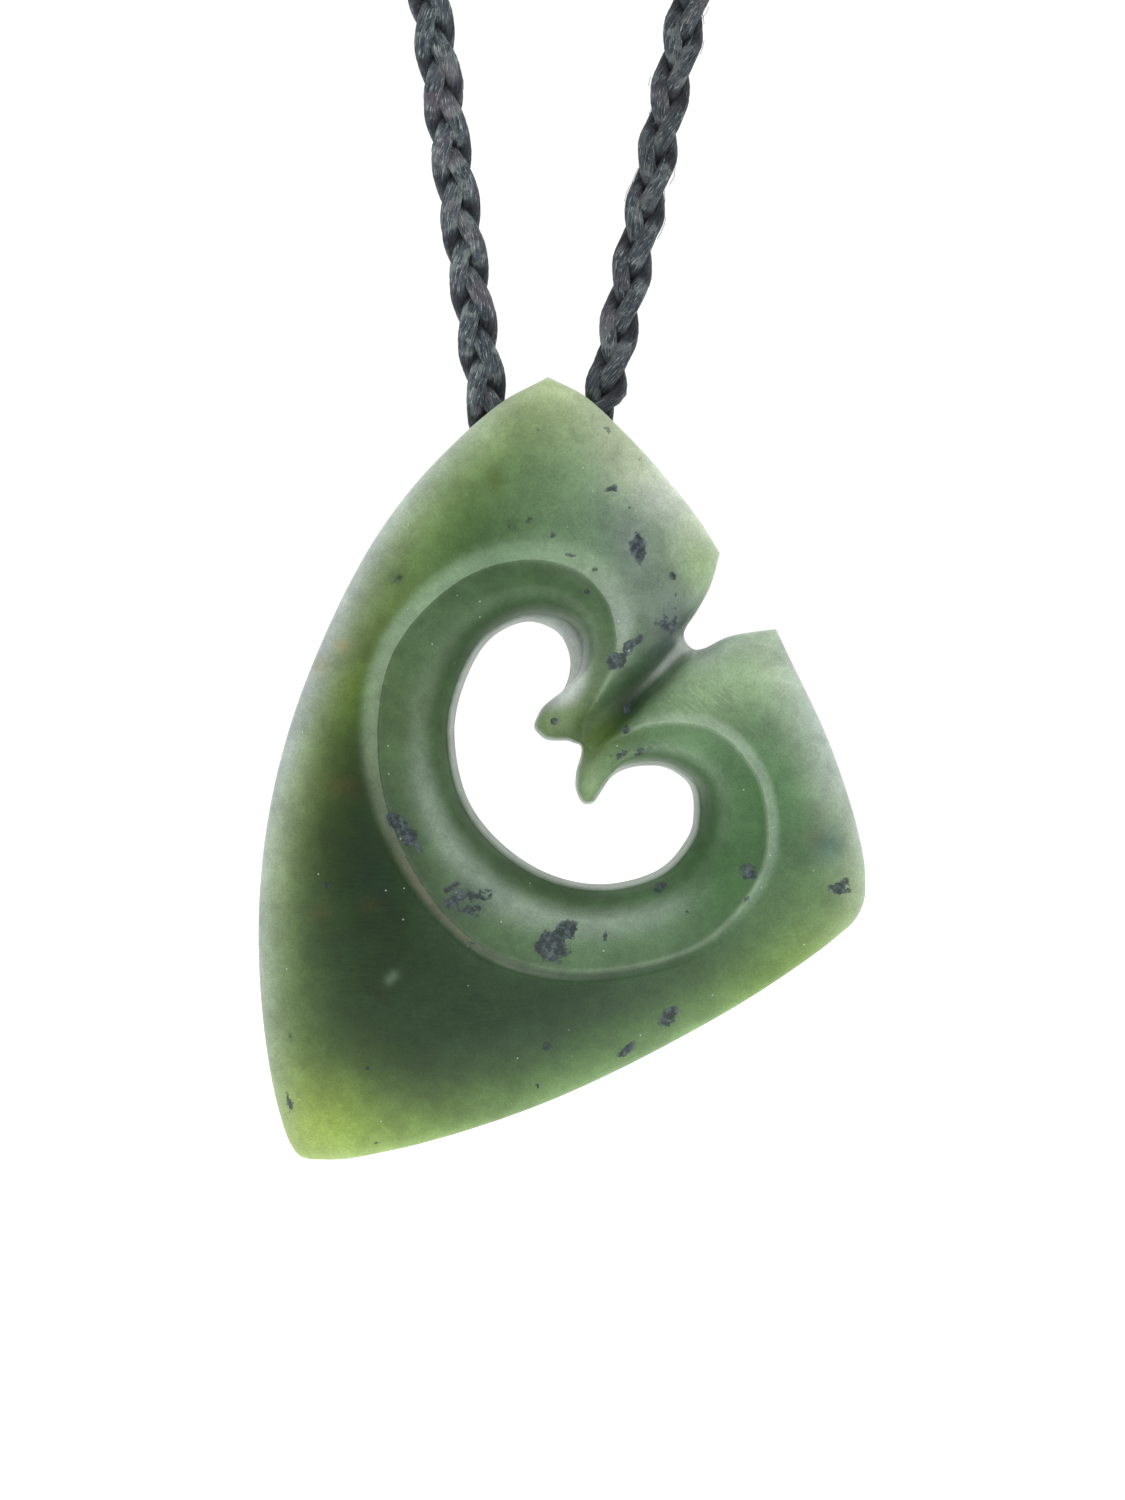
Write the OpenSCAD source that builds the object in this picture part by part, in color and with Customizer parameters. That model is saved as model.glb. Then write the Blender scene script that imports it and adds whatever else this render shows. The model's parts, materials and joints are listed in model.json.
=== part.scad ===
// Carved greenstone fish hook pendant, hung on a closed loop of three-strand braided cord.
// Millimetres, +Z up. The carved face looks along -Y and +X is to the right of it.
// The origin is under the binding at the top of the loop, where the necklace hangs.

/* [Stone] */
// Height of the stone from its top point to its lower edge
stone_height = 56; // [54:0.5:58]
// How far the middle of the front face stands before the plane of the cord
face_height = 3.9; // [3.8:0.1:4.4]
// How far the flat back stands behind the plane of the cord
back_depth = 3.7; // [3.2:0.1:3.8]
// Width of the band along the outer edge where the stone thins
edge_roll = 7; // [5:0.5:9]
// Radius of the rounding of the outer edge, seen from the front
rim_round = 0.9; // [0.6:0.1:1.2]
// Width of the soft bevel that steps down to the rib around the hole
bevel_width = 1.2; // [0.8:0.1:1.5]

/* [Suspension] */
// Bore that the cord passes through, across the back of the stone
bore_d = 3.8; // [3.7:0.1:4]
// Depth of the bore's axis below the stone's top point
hang_depth = 5.4; // [5.2:0.1:5.8]
// Half the width of the stone bridge that rides on the cord, at the bore
bridge_half = 1.8; // [1.6:0.1:2]
// Depth of the two cord pockets before the plane of the cord
pocket_front = 1.9; // [1.85:0.05:1.95]

/* [Cord] */
// Whole length of the cord's loop
loop_length = 585; // [560:5:640]
// Lean of the left leg from upright, in degrees
left_lean = 8.2; // [7:0.1:9]
// Lean of the right leg from upright, in degrees
right_lean = 12.3; // [11:0.1:13.5]
// Length of one full repeat of the braid
braid_pitch = 12.9; // [12.5:0.1:14]
// Swing of a strand to each side of the braid's middle
braid_swing = 1.1; // [1.08:0.01:1.12]
// Distance of a strand's middle before or behind the braid's middle where strands cross
braid_rise = 0.71; // [0.7:0.01:0.75]
// Thickness of one strand
strand_d = 0.98; // [0.8:0.01:1]
// Radius of the cord's bend beside the bridge, along its middle
bend_radius = 2; // [1.9:0.05:2.1]

/* [Binding] */
// Length of the binding that joins the cord's ends, along its middle
binding_length = 14; // [10:1:20]
// Outer diameter of the binding
binding_d = 4.8; // [4.6:0.1:5.4]
// Hole through the binding
binding_bore = 3.6; // [3.5:0.1:3.8]

/* [Hidden] */
$fn = 72;
STONE_COLOUR = "darkseagreen";
CORD_COLOUR = "darkslategray";
BINDING_COLOUR = "black";

// The stone's surface is lofted through sections that run from its outer edge to the hole.
// Sections are numbered once round the stone, from the valley up, over the top and back.
SECTIONS = 96;
NOMINAL_HEIGHT = 56;
stone_scale = stone_height / NOMINAL_HEIGHT;

// Outer edge of the stone: section, corner (1) or smooth (0), x and z from the top point
OUTLINE = [
    [0, 0, 10.4, -19.4],
    [3, 0, 9.75, -18.3],
    [6, 0, 10.75, -16.6],
    [9, 0, 11.65, -14.85],
    [12, 1, 12.3, -12.6],
    [14, 0, 11.05, -10.55],
    [17, 0, 8.9, -7.75],
    [22, 0, 4.9, -3.4],
    [25, 0, 2.3, -1.15],
    [27, 1, 0, 0],
    [29, 0, -3.6, -2.0],
    [31, 0, -7.65, -5.65],
    [38, 0, -16.5, -19.7],
    [42, 0, -19.5, -28.9],
    [46, 0, -20.7, -38.5],
    [52, 0, -19.1, -53.0],
    [53, 0, -18.5, -54.7],
    [54, 0, -17.6, -55.8],
    [55, 0, -16.0, -56.0],
    [58, 0, -11.1, -55.3],
    [62, 0, -3.7, -53.2],
    [70, 0, 9.75, -47.1],
    [74, 0, 16.0, -43.4],
    [77, 0, 20.7, -40.0],
    [78, 0, 21.9, -38.9],
    [79, 0, 22.6, -37.5],
    [80, 0, 22.7, -35.8],
    [84, 0, 20.3, -26.6],
    [87, 0, 17.2, -19.9],
    [88, 1, 16.3, -18.0],
    [91, 0, 13.1, -18.5],
    [94, 0, 11.1, -19.4],
];

// Foot of the rib around the hole: section, corner, x and z
RIB_LINE = [
    [0, 0, 3.0, -26.6],
    [2, 0, 2.6, -24.9],
    [4, 0, 3.6, -22.9],
    [6, 0, 4.7, -20.8],
    [9, 0, 4.9, -19.2],
    [12, 0, 4.7, -17.5],
    [16, 0, 3.9, -15.6],
    [20, 0, 2.1, -13.9],
    [25, 0, -1.3, -13.1],
    [32, 0, -6.6, -14.8],
    [40, 0, -11.4, -20.6],
    [46, 0, -12.1, -26.9],
    [54, 0, -9.8, -34.8],
    [62, 0, -4.4, -40.8],
    [70, 0, 3.8, -42.4],
    [77, 0, 11.9, -39.8],
    [83, 0, 15.7, -33.5],
    [87, 0, 14.6, -28.0],
    [90, 0, 11.2, -25.0],
    [92, 0, 7.5, -24.8],
    [94, 0, 4.6, -25.9],
];

// Edge of the pierced hole: section, corner, x and z
HOLE_EDGE = [
    [0, 0, 2.4, -26.9],
    [2, 0, 1.7, -26.1],
    [5, 0, -0.5, -25.7],
    [6, 0, -1.0, -25.0],
    [7, 0, -0.65, -24.0],
    [10, 0, 1.05, -22.4],
    [13, 0, 1.6, -20.6],
    [17, 0, 1.0, -18.5],
    [22, 0, -1.0, -17.4],
    [28, 0, -3.35, -18.0],
    [35, 0, -5.3, -20.1],
    [44, 0, -6.8, -25.5],
    [51, 0, -5.7, -30.5],
    [60, 0, -1.0, -35.15],
    [67, 0, 3.7, -36.4],
    [73, 0, 7.7, -35.5],
    [78, 0, 9.6, -33.8],
    [82, 0, 10.5, -31.8],
    [86, 0, 10.0, -28.9],
    [89, 0, 7.6, -27.8],
    [92, 0, 4.5, -28.9],
    [93, 0, 3.1, -30.6],
    [94, 0, 2.35, -30.5],
    [95, 0, 1.9, -28.6],
];

// Relief: section, corner, then as shares of face_height the outer edge, the face and the
// rib's crest, and in millimetres the step at the rib's foot and the chamfer at the hole
RELIEF = [
    [0, 0, 0.10, 0.20, 0.20, 0.0, 0.2],
    [2, 0, 0.15, 0.32, 0.32, 0.0, 0.3],
    [4, 0, 0.35, 0.72, 0.62, 0.1, 0.4],
    [6, 0, 0.45, 0.88, 0.72, 0.3, 0.4],
    [9, 0, 0.47, 0.92, 0.84, 0.6, 0.9],
    [14, 0, 0.48, 0.95, 0.90, 0.8, 1.2],
    [27, 0, 0.50, 0.97, 0.92, 0.8, 0.8],
    [53, 0, 0.48, 1.00, 0.96, 0.9, 0.6],
    [78, 0, 0.48, 0.98, 0.94, 0.8, 0.6],
    [88, 0, 0.47, 0.92, 0.88, 0.6, 0.5],
    [91, 0, 0.42, 0.88, 0.80, 0.4, 0.4],
    [93, 0, 0.30, 0.70, 0.66, 0.2, 0.4],
    [95, 0, 0.15, 0.32, 0.32, 0.0, 0.3],
];

// Further sizes of the stone's profile: the rim's rounding rises in front, meets the back at
// rim_back and reaches inward by rim_back_round; hole_front and hole_middle are heights
rim_rise = 0.75;
rim_back = 1.2;
rim_back_round = 1.6;
hole_front = 1.2;
hole_middle = -0.6;
back_chamfer = 0.4;
least_rib = 0.1;
// Where the rib's crest lies on the way from its foot to the hole, and how fast it falls after
rib_crest_at = 0.45;
rib_fall = 2.2;
// Where a section has its points: angles round the rim, shares of the field's and the rib's width
RIM_FRONT_ANGLES = [0, 30, 60, 90];
RIM_BACK_ANGLES = [85, 55, 28];
FIELD_SHARES = [0.2, 0.45, 0.72, 1];
RIB_SHARES = [0.15, 0.35, 0.6, 0.82];
BACK_SHARES = [1, 0.5];

function unit(v) = v / norm(v);
function shifted(row, by) = [for (c = [0:len(row) - 1]) c == 0 ? row[0] + by : row[c]];
function looped(t) = let (n = len(t))
    concat([shifted(t[n - 2], -SECTIONS), shifted(t[n - 1], -SECTIONS)], t,
           [shifted(t[0], SECTIONS), shifted(t[1], SECTIONS)]);
function chord(t, k, c) = (t[k + 1][c] - t[k][c]) / (t[k + 1][0] - t[k][0]);
function slope(t, k, c, leaving) =
    t[k][1] == 1 ? chord(t, leaving ? k : k - 1, c)
    : let (a = t[k][0] - t[k - 1][0], b = t[k + 1][0] - t[k][0])
      (chord(t, k - 1, c) * b + chord(t, k, c) * a) / (a + b);
function hermite(p, m, q, n, u) =
    (2 * u^3 - 3 * u^2 + 1) * p + (u^3 - 2 * u^2 + u) * m
    + (3 * u^2 - 2 * u^3) * q + (u^3 - u^2) * n;
// Values of a looped table at any section, smooth between its rows
function along(t, s) =
    let (k = max([for (i = [1:len(t) - 3]) if (t[i][0] <= s) i]),
         h = t[k + 1][0] - t[k][0], u = (s - t[k][0]) / h)
    [for (c = [2:len(t[0]) - 1])
        hermite(t[k][c], slope(t, k, c, true) * h, t[k + 1][c], slope(t, k + 1, c, false) * h, u)];

outline_loop = looped(OUTLINE);
rib_loop = looped(RIB_LINE);
hole_loop = looped(HOLE_EDGE);
relief_loop = looped(RELIEF);

function ease(t) = let (c = min(max(t, 0), 1)) 1 - (1 - c)^2;
function at_height(p, h) = [p[0], -h, p[1]];

// One section of the stone: points from the outer edge over the front, the hole and the back
function stone_section(s) =
    let (o = along(outline_loop, s) * stone_scale,
         l = along(rib_loop, s) * stone_scale,
         e = along(hole_loop, s) * stone_scale,
         f = along(relief_loop, s),
         rim = f[0] * face_height, face = f[1] * face_height, crest = f[2] * face_height,
         inward = unit(l - o), outward = unit(l - e),
         bevel_at = norm(l - o) - bevel_width,
         rim_front = min(rim + rim_rise, face),
         field = function (d) rim_front + (face - rim_front) * ease(d / edge_roll),
         foot = field(bevel_at) - f[3],
         lip = e + outward * f[4],
         hole_lip = min(hole_front, crest - least_rib),
         rib = function (t) t < rib_crest_at
             ? crest - (crest - foot) * ((rib_crest_at - t) / rib_crest_at)^2
             : crest - (crest - hole_lip) * ((t - rib_crest_at) / (1 - rib_crest_at))^rib_fall,
         back = function (d) -(rim_back + (back_depth - rim_back) * ease(d / edge_roll)))
    concat(
        [for (a = RIM_FRONT_ANGLES)
            at_height(o + inward * rim_round * (1 - cos(a)), rim + (rim_front - rim) * sin(a))],
        [for (q = FIELD_SHARES) let (d = rim_round + (bevel_at - rim_round) * q)
            at_height(o + inward * d, field(d))],
        [at_height(l, foot)],
        [for (t = RIB_SHARES) at_height(l + (lip - l) * t, rib(t))],
        [at_height(lip, hole_lip), at_height(e, hole_middle)],
        [at_height(e + outward * back_chamfer, back_chamfer - back_depth)],
        [for (q = BACK_SHARES) at_height(o + inward * edge_roll * q, back(edge_roll * q))],
        [for (a = RIM_BACK_ANGLES)
            at_height(o + inward * rim_back_round * (1 - cos(a)), rim - (rim + rim_back) * sin(a))]);

stone_points = [for (s = [0:SECTIONS - 1]) each stone_section(s)];
PROFILE = len(stone_points) / SECTIONS;
function stone_index(s, v) = (s % SECTIONS) * PROFILE + v % PROFILE;
stone_faces = [for (s = [0:SECTIONS - 1], v = [0:PROFILE - 1])
    let (a = stone_index(s, v), b = stone_index(s + 1, v),
         c = stone_index(s + 1, v + 1), d = stone_index(s, v + 1))
    each [[a, c, b], [a, d, c]]];

// The cord's middle line: arcs and straights round the loop, from the top down the left leg
half_spread = (left_lean + right_lean) / 2;
bottom_length = 2 * bridge_half + bend_radius * (180 - left_lean - right_lean) * PI / 180;
// The legs' lines meet at a point under the bore, and the top arc is tangent to both
left_up = [-sin(left_lean), cos(left_lean)];
right_up = [sin(right_lean), cos(right_lean)];
left_low = [-bridge_half, bend_radius] - bend_radius * [cos(left_lean), sin(left_lean)];
right_low = [bridge_half, bend_radius] + bend_radius * [cos(right_lean), -sin(right_lean)];
cross_legs = left_up[0] * right_up[1] - left_up[1] * right_up[0];
low_gap = right_low - left_low;
left_back = -(low_gap[0] * right_up[1] - low_gap[1] * right_up[0]) / cross_legs;
right_back = -(low_gap[0] * left_up[1] - low_gap[1] * left_up[0]) / cross_legs;
top_turn = (180 + left_lean + right_lean) * PI / 180;
top_radius = (loop_length - bottom_length + left_back + right_back)
    / (2 / tan(half_spread) + top_turn);
legs_meet = left_low - left_up * left_back;
middle_up = [sin(right_lean - half_spread), cos(right_lean - half_spread)];
top_centre = legs_meet + middle_up * top_radius / sin(half_spread);
left_leg = top_radius / tan(half_spread) - left_back;
right_leg = top_radius / tan(half_spread) - right_back;
// The bore's place in the part's frame puts the origin under the binding
bore_at = [-top_centre[0], -top_centre[1] - top_radius + binding_d / 2];

// Stretches of the route: length, direction of its outer side at the start, radius (0 when
// straight), and the arc's centre or the straight's first point, from the bore's middle
left_out = 180 + left_lean;
right_out = 360 - right_lean;
left_top = top_centre + top_radius * [cos(left_out), sin(left_out)];
STRETCHES = [
    [top_radius * (left_out - 90) * PI / 180, 90, top_radius, top_centre],
    [left_leg, left_out, 0, left_top],
    [bend_radius * (270 - left_out) * PI / 180, left_out, bend_radius, [-bridge_half, bend_radius]],
    [2 * bridge_half, 270, 0, [-bridge_half, 0]],
    [bend_radius * (right_out - 270) * PI / 180, 270, bend_radius, [bridge_half, bend_radius]],
    [right_leg, right_out, 0, right_low],
    [top_radius * (450 - right_out) * PI / 180, right_out, top_radius, top_centre],
];
function start_of(k) = k == 0 ? 0 : start_of(k - 1) + STRETCHES[k - 1][0];
starts = [for (k = [0:len(STRETCHES)]) start_of(k)];
// Place and outer direction of the cord's middle at a distance round the loop
function route(s) =
    let (k = max([for (i = [0:len(STRETCHES) - 1]) if (starts[i] <= s) i]),
         w = STRETCHES[k], run = s - starts[k],
         turn = w[2] == 0 ? w[1] : w[1] + run / w[2] * 180 / PI)
    [w[3] + (w[2] == 0 ? run * [-sin(turn), cos(turn)] : w[2] * [cos(turn), sin(turn)]), turn];

// The flat braid turns on its length: distance round the loop, and roll in degrees
bend_start = starts[2];
bend_end = starts[5];
nape_roll = 30;
edge_on = 90;
roll_from = bend_start - 14;
roll_to = bend_start - 1;
ROLL = [
    [0, nape_roll],
    [starts[1], 0],
    [roll_from, 0],
    [roll_to, edge_on],
    [starts[6], edge_on],
    [starts[7], nape_roll],
];
function roll(s) =
    let (k = max([for (i = [0:len(ROLL) - 2]) if (ROLL[i][0] <= s) i]),
         u = min(1, (s - ROLL[k][0]) / (ROLL[k + 1][0] - ROLL[k][0])))
    ROLL[k][1] + (ROLL[k + 1][1] - ROLL[k][1]) * u * u * (3 - 2 * u);

repeats = round(loop_length / braid_pitch);
pitch = loop_length / repeats;
RINGS_A_PITCH = 8;
RING_TURN = 360 / RINGS_A_PITCH;
STRAND_SIDES = 5;
ring_step = pitch / RINGS_A_PITCH;
// Each strand is two pieces that meet at both ends of the top arc, with this space between them
meet_gap = 0.1;
meet_left = starts[1];
meet_right = starts[6];
// Least distance of a ring from a piece's end
end_step = 0.2;

// Wave of height 1 whose tops are flat, as a strand stays in front while it crosses the others
function flat_wave(t) = let (cut = sin(45)) max(-cut, min(cut, sin(t))) / cut;
// Middle of one strand, given its phase in the braid
function strand_at(s, phase) =
    let (on_loop = s % loop_length, r = route(on_loop), w = roll(on_loop),
         t = 360 * s / pitch + phase,
         flat = braid_swing * sin(t), deep = braid_rise * flat_wave(2 * t),
         out = flat * cos(w) - deep * sin(w), front = flat * sin(w) + deep * cos(w),
         p = r[0] + out * [cos(r[1]), sin(r[1])])
    [p[0], -front, p[1]];

// Rings lie halfway between the eighths of the strand's own wave, twice as close in the bends
function ring_places(phase, from, to) =
    let (turns = floor((360 * from / pitch + phase) / RING_TURN + 0.5) + 0.5,
         first = (RING_TURN * turns - phase) * pitch / 360)
    concat([from + meet_gap / 2],
           [for (s = [first:ring_step:to - end_step]) if (s > from + end_step)
               each s > bend_start - ring_step && s < bend_end ? [s, s + ring_step / 2] : [s]],
           [to - meet_gap / 2]);

function ring(s, phase, low, high) =
    let (p = strand_at(s, phase),
         t = unit(strand_at(high, phase) - strand_at(low, phase)),
         side = unit(cross(t, [0, 1, 0])), up = cross(side, t))
    [for (k = [0:STRAND_SIDES - 1]) let (a = 360 * k / STRAND_SIDES)
        p + strand_d / 2 * (cos(a) * side + sin(a) * up)];

module strand(phase, from, to) {
    places = ring_places(phase, from, to);
    last = len(places) - 1;
    points = [for (i = [0:last])
        each ring(places[i], phase, places[max(i - 1, 0)], places[min(i + 1, last)])];
    sides = [for (i = [0:last - 1], k = [0:STRAND_SIDES - 1])
        let (a = i * STRAND_SIDES + k, b = i * STRAND_SIDES + (k + 1) % STRAND_SIDES)
        each [[a, b, b + STRAND_SIDES], [a, b + STRAND_SIDES, a + STRAND_SIDES]]];
    caps = [[for (k = [STRAND_SIDES - 1:-1:0]) k],
            [for (k = [0:STRAND_SIDES - 1]) last * STRAND_SIDES + k]];
    color(CORD_COLOUR) at_bore() polyhedron(points, concat(sides, caps));
}

// The upper piece of a strand runs round the top arc, through the binding
module strand_top(phase) {
    strand(phase, meet_right, loop_length + meet_left);
}

// The lower piece runs down the left leg, through the bore and up the right leg
module strand_low(phase) {
    strand(phase, meet_left, meet_right);
}

// Carries shapes that are drawn from the bore's middle to their place in the part's frame
module at_bore() {
    translate([bore_at[0], 0, bore_at[1]]) children();
}

// Pocket in the back of the stone for one leg of the cord, open upward and backward
module cord_pocket(side, lean) {
    pocket_half = bend_radius;
    pocket_length = 2 * hang_depth + 1;
    translate([side * (bridge_half + bend_radius), -pocket_front, 0])
        rotate([-90, 0, 0])
            rotate([0, 0, side * lean])
                linear_extrude(pocket_front + 2 * back_depth) {
                    circle(pocket_half);
                    translate([-pocket_half, -pocket_length])
                        square([2 * pocket_half, pocket_length]);
                }
}

// The bore is a little to the left of the stone's top point
bore_shift = 0.3;

module hook_stone() {
    color(STONE_COLOUR) at_bore() difference() {
        translate([bore_shift, 0, hang_depth]) polyhedron(stone_points, stone_faces);
        translate([-2 * bridge_half, 0, 0]) rotate([0, 90, 0])
            cylinder(d = bore_d, h = 4 * bridge_half);
        cord_pocket(-1, left_lean);
        cord_pocket(1, right_lean);
    }
}

module strand_one_top() {
    strand_top(0);
}

module strand_one_low() {
    strand_low(0);
}

module strand_two_top() {
    strand_top(120);
}

module strand_two_low() {
    strand_low(120);
}

module strand_three_top() {
    strand_top(240);
}

module strand_three_low() {
    strand_low(240);
}

// Sleeve bound over the cord where it is joined, bent along the top of the loop
module end_binding() {
    binding_turn = binding_length / top_radius * 180 / PI;
    color(BINDING_COLOUR) at_bore() translate([top_centre[0], 0, top_centre[1]])
        rotate([90, 0, 0]) rotate([0, 0, 90 - binding_turn / 2])
            rotate_extrude(angle = binding_turn) translate([top_radius, 0]) difference() {
                circle(d = binding_d);
                circle(d = binding_bore);
            }
}

hook_stone();
strand_one_top();
strand_one_low();
strand_two_top();
strand_two_low();
strand_three_top();
strand_three_low();
end_binding();
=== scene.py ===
import json
import math

import bpy
import numpy as np
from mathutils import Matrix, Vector


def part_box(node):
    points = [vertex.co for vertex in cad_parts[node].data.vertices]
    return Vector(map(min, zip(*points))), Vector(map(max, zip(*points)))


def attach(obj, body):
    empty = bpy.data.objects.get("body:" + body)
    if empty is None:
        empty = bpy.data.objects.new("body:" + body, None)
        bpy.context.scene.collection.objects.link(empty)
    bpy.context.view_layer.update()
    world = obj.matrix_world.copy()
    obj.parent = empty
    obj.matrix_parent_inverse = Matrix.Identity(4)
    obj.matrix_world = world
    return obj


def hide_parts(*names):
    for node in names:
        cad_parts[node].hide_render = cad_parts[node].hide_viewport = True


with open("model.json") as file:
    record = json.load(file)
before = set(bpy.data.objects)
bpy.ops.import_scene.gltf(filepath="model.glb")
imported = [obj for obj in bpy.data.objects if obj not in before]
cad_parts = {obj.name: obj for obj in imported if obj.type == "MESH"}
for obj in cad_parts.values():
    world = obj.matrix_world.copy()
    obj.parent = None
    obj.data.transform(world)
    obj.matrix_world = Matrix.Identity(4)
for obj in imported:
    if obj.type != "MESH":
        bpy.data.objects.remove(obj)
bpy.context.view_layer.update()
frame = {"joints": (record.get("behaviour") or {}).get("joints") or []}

MM = 0.001
scene = bpy.context.scene
dice = np.random.default_rng(7)

# The stone in millimetres from its top point: sections round it, from the valley up over the top,
# and steps in each
SECTIONS = 96
STEPS = 8
stone_low, stone_high = (np.array(corner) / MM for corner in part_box("hook_stone"))
bore = np.array(frame["joints"][0]["pos_m"]) / MM
# How far the bore is left of the top point, and below it
BORE_SHIFT = 0.3
HANG_DEPTH = 5.4
top_point = bore + (BORE_SHIFT, 0, HANG_DEPTH)
face_height = -stone_low[1]
back_depth = stone_high[1]

# Outer edge: section, x, z; and the sections of its corners
OUTLINE = np.array([
    [0, 10.4, -19.4], [3, 9.75, -18.3], [6, 10.75, -16.6], [9, 11.65, -14.85], [12, 12.3, -12.6],
    [14, 11.05, -10.55], [17, 8.9, -7.75], [22, 4.9, -3.4], [25, 2.3, -1.15], [27, 0, 0], [29, -3.6, -2],
    [31, -7.65, -5.65], [38, -16.5, -19.7], [42, -19.5, -28.9], [46, -20.7, -38.5], [52, -19.1, -53],
    [53, -18.5, -54.7], [54, -17.6, -55.8], [55, -16, -55.98], [58, -11.1, -55.3], [62, -3.7, -53.2],
    [70, 9.75, -47.1], [74, 16, -43.4], [77, 20.7, -40], [78, 21.9, -38.9], [79, 22.6, -37.5],
    [80, 22.7, -35.8], [84, 20.3, -26.6], [87, 17.2, -19.9], [88, 16.3, -18], [91, 13.1, -18.5],
    [94, 11.1, -19.4],
])
CORNERS = (12, 27, 88)
# Foot of the rib around the hole: section, x, z
RIB_LINE = np.array([
    [0, 3, -26.6], [2, 2.6, -24.9], [4, 3.6, -22.9], [6, 4.7, -20.8], [9, 4.9, -19.2], [12, 4.7, -17.5],
    [16, 3.9, -15.6], [20, 2.1, -13.9], [25, -1.3, -13.1], [32, -6.6, -14.8], [40, -11.4, -20.6],
    [46, -12.1, -26.9], [54, -9.8, -34.8], [62, -4.4, -40.8], [70, 3.8, -42.4], [77, 11.9, -39.8],
    [83, 15.7, -33.5], [87, 14.6, -28], [90, 11.2, -25], [92, 7.5, -24.8], [94, 4.6, -25.9],
])
# Edge of the pierced hole: section, x, z
HOLE_EDGE = np.array([
    [0, 2.4, -26.9], [2, 1.7, -26.1], [5, -0.5, -25.7], [6, -1, -25], [7, -0.65, -24], [10, 1.05, -22.4],
    [13, 1.6, -20.6], [17, 1, -18.5], [22, -1, -17.4], [28, -3.35, -18], [35, -5.3, -20.1],
    [44, -6.8, -25.5], [51, -5.7, -30.5], [60, -1, -35.15], [67, 3.7, -36.4], [73, 7.7, -35.5],
    [78, 9.6, -33.8], [82, 10.5, -31.8], [86, 10, -28.9], [89, 7.6, -27.8], [92, 4.3, -28.9],
    [92.8, 3.65, -29.9], [93.3, 3.2, -30.5], [93.8, 2.5, -30.5], [94.3, 2.05, -29.7], [95, 2, -28.5],
])
# Relief: section; as shares of the face's height the outer edge, the face and the rib's crest; in
# millimetres the step at the rib's foot, the chamfer and the bevel
RELIEF = np.array([
    [0, 0.12, 0.24, 0.24, 0, 0.2, 0.8], [2, 0.14, 0.28, 0.28, 0, 0.3, 0.8],
    [3.5, 0.24, 0.46, 0.42, 0, 0.35, 0.8], [5, 0.35, 0.68, 0.58, 0.1, 0.4, 1],
    [7, 0.43, 0.84, 0.72, 0.3, 0.6, 1.6], [9, 0.46, 0.91, 0.8, 0.5, 1.1, 2],
    [14, 0.48, 0.95, 0.88, 0.7, 1.3, 2], [20, 0.49, 0.96, 0.88, 0.65, 0.7, 1.6],
    [27, 0.5, 0.97, 0.88, 0.6, 0.45, 1.4], [36, 0.49, 0.98, 0.9, 0.65, 0.45, 1.4],
    [48, 0.48, 1, 0.94, 0.6, 0.5, 1.1], [60, 0.48, 1, 0.96, 0.45, 0.5, 0.8],
    [72, 0.48, 0.99, 0.95, 0.4, 0.45, 0.8], [80, 0.48, 0.98, 0.93, 0.45, 0.45, 0.9],
    [88, 0.47, 0.92, 0.88, 0.45, 0.4, 0.9], [91, 0.42, 0.88, 0.8, 0.35, 0.35, 0.9],
    [93, 0.34, 0.77, 0.68, 0.2, 0.3, 0.8], [94.5, 0.25, 0.58, 0.54, 0.1, 0.3, 0.8],
    [95.3, 0.16, 0.34, 0.34, 0, 0.3, 0.8],
])
# The band that thins to the outer edge, and its rounding's width and height on both sides
EDGE_ROLL = 7.0
RIM_ROUND, RIM_RISE = 0.9, 0.75
RIM_BACK_ROUND, RIM_BACK = 1.6, 1.2
RIM_ANGLES = (0, 15, 30, 45, 60, 75)
# The corners' ridges soften from this far in, over this far, by a blur of this many sections
RIDGE_FROM, RIDGE_FADE, RIDGE_BLUR = 0.8, 2.5, 0.8
# The rib: its crest's place on the way to the hole, the powers of its two slopes, its least height
RIB_CREST_AT = 0.45
BEVEL_POWER, RIB_POWER = 1.6, 2.2
LEAST_RIB = 0.1
# The hole: heights of its lip and of its chamfer's end, the chamfer behind, and its points
HOLE_FRONT, HOLE_MIDDLE, BACK_CHAMFER = 1.2, -0.6, 0.4
CHAMFER_ANGLES = (15, 32, 50, 68, 90)
WALL_SHARES = (0.25, 0.5, 0.75, 1)
# Columns of points over the front, the rib and the back, and how they crowd to one side
FRONT_COLUMNS, RIB_COLUMNS, BACK_COLUMNS = 43, 29, 17
FRONT_CROWDING, BACK_CROWDING = 1.35, 1.3


def along(table, at, corners=()):
    """Values of a closed table at sections, smooth between its rows apart from its corners."""
    rows = np.vstack([table[-2:], table, table[:2]])
    rows[:2, 0] -= SECTIONS
    rows[-2:, 0] += SECTIONS
    place, values = rows[:, :1], rows[:, 1:]
    gap = np.diff(place, axis=0)
    chord = np.diff(values, axis=0) / gap
    k = np.clip(np.searchsorted(place[:, 0], at, side="right") - 1, 1, len(rows) - 3)
    u = (at[:, None] - place[k]) / gap[k]

    def slope(i, leaving):
        a, b = gap[i - 1], gap[i]
        smooth = (chord[i - 1] * b + chord[i] * a) / (a + b)
        corner = np.isin(place[i] % SECTIONS, corners)
        return np.where(corner, chord[i] if leaving else chord[i - 1], smooth) * gap[k]

    return ((2 * u**3 - 3 * u**2 + 1) * values[k] + (u**3 - 2 * u**2 + u) * slope(k, True)
            + (3 * u**2 - 2 * u**3) * values[k + 1] + (u**3 - u**2) * slope(k + 1, False))


def ease(t):
    """A rise from 0 that flattens to 1; its square root is a quarter round."""
    return 1 - (1 - np.clip(t, 0, 1)) ** 2


def smooth_step(t):
    t = np.clip(t, 0, 1)
    return t * t * (3 - 2 * t)


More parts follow.
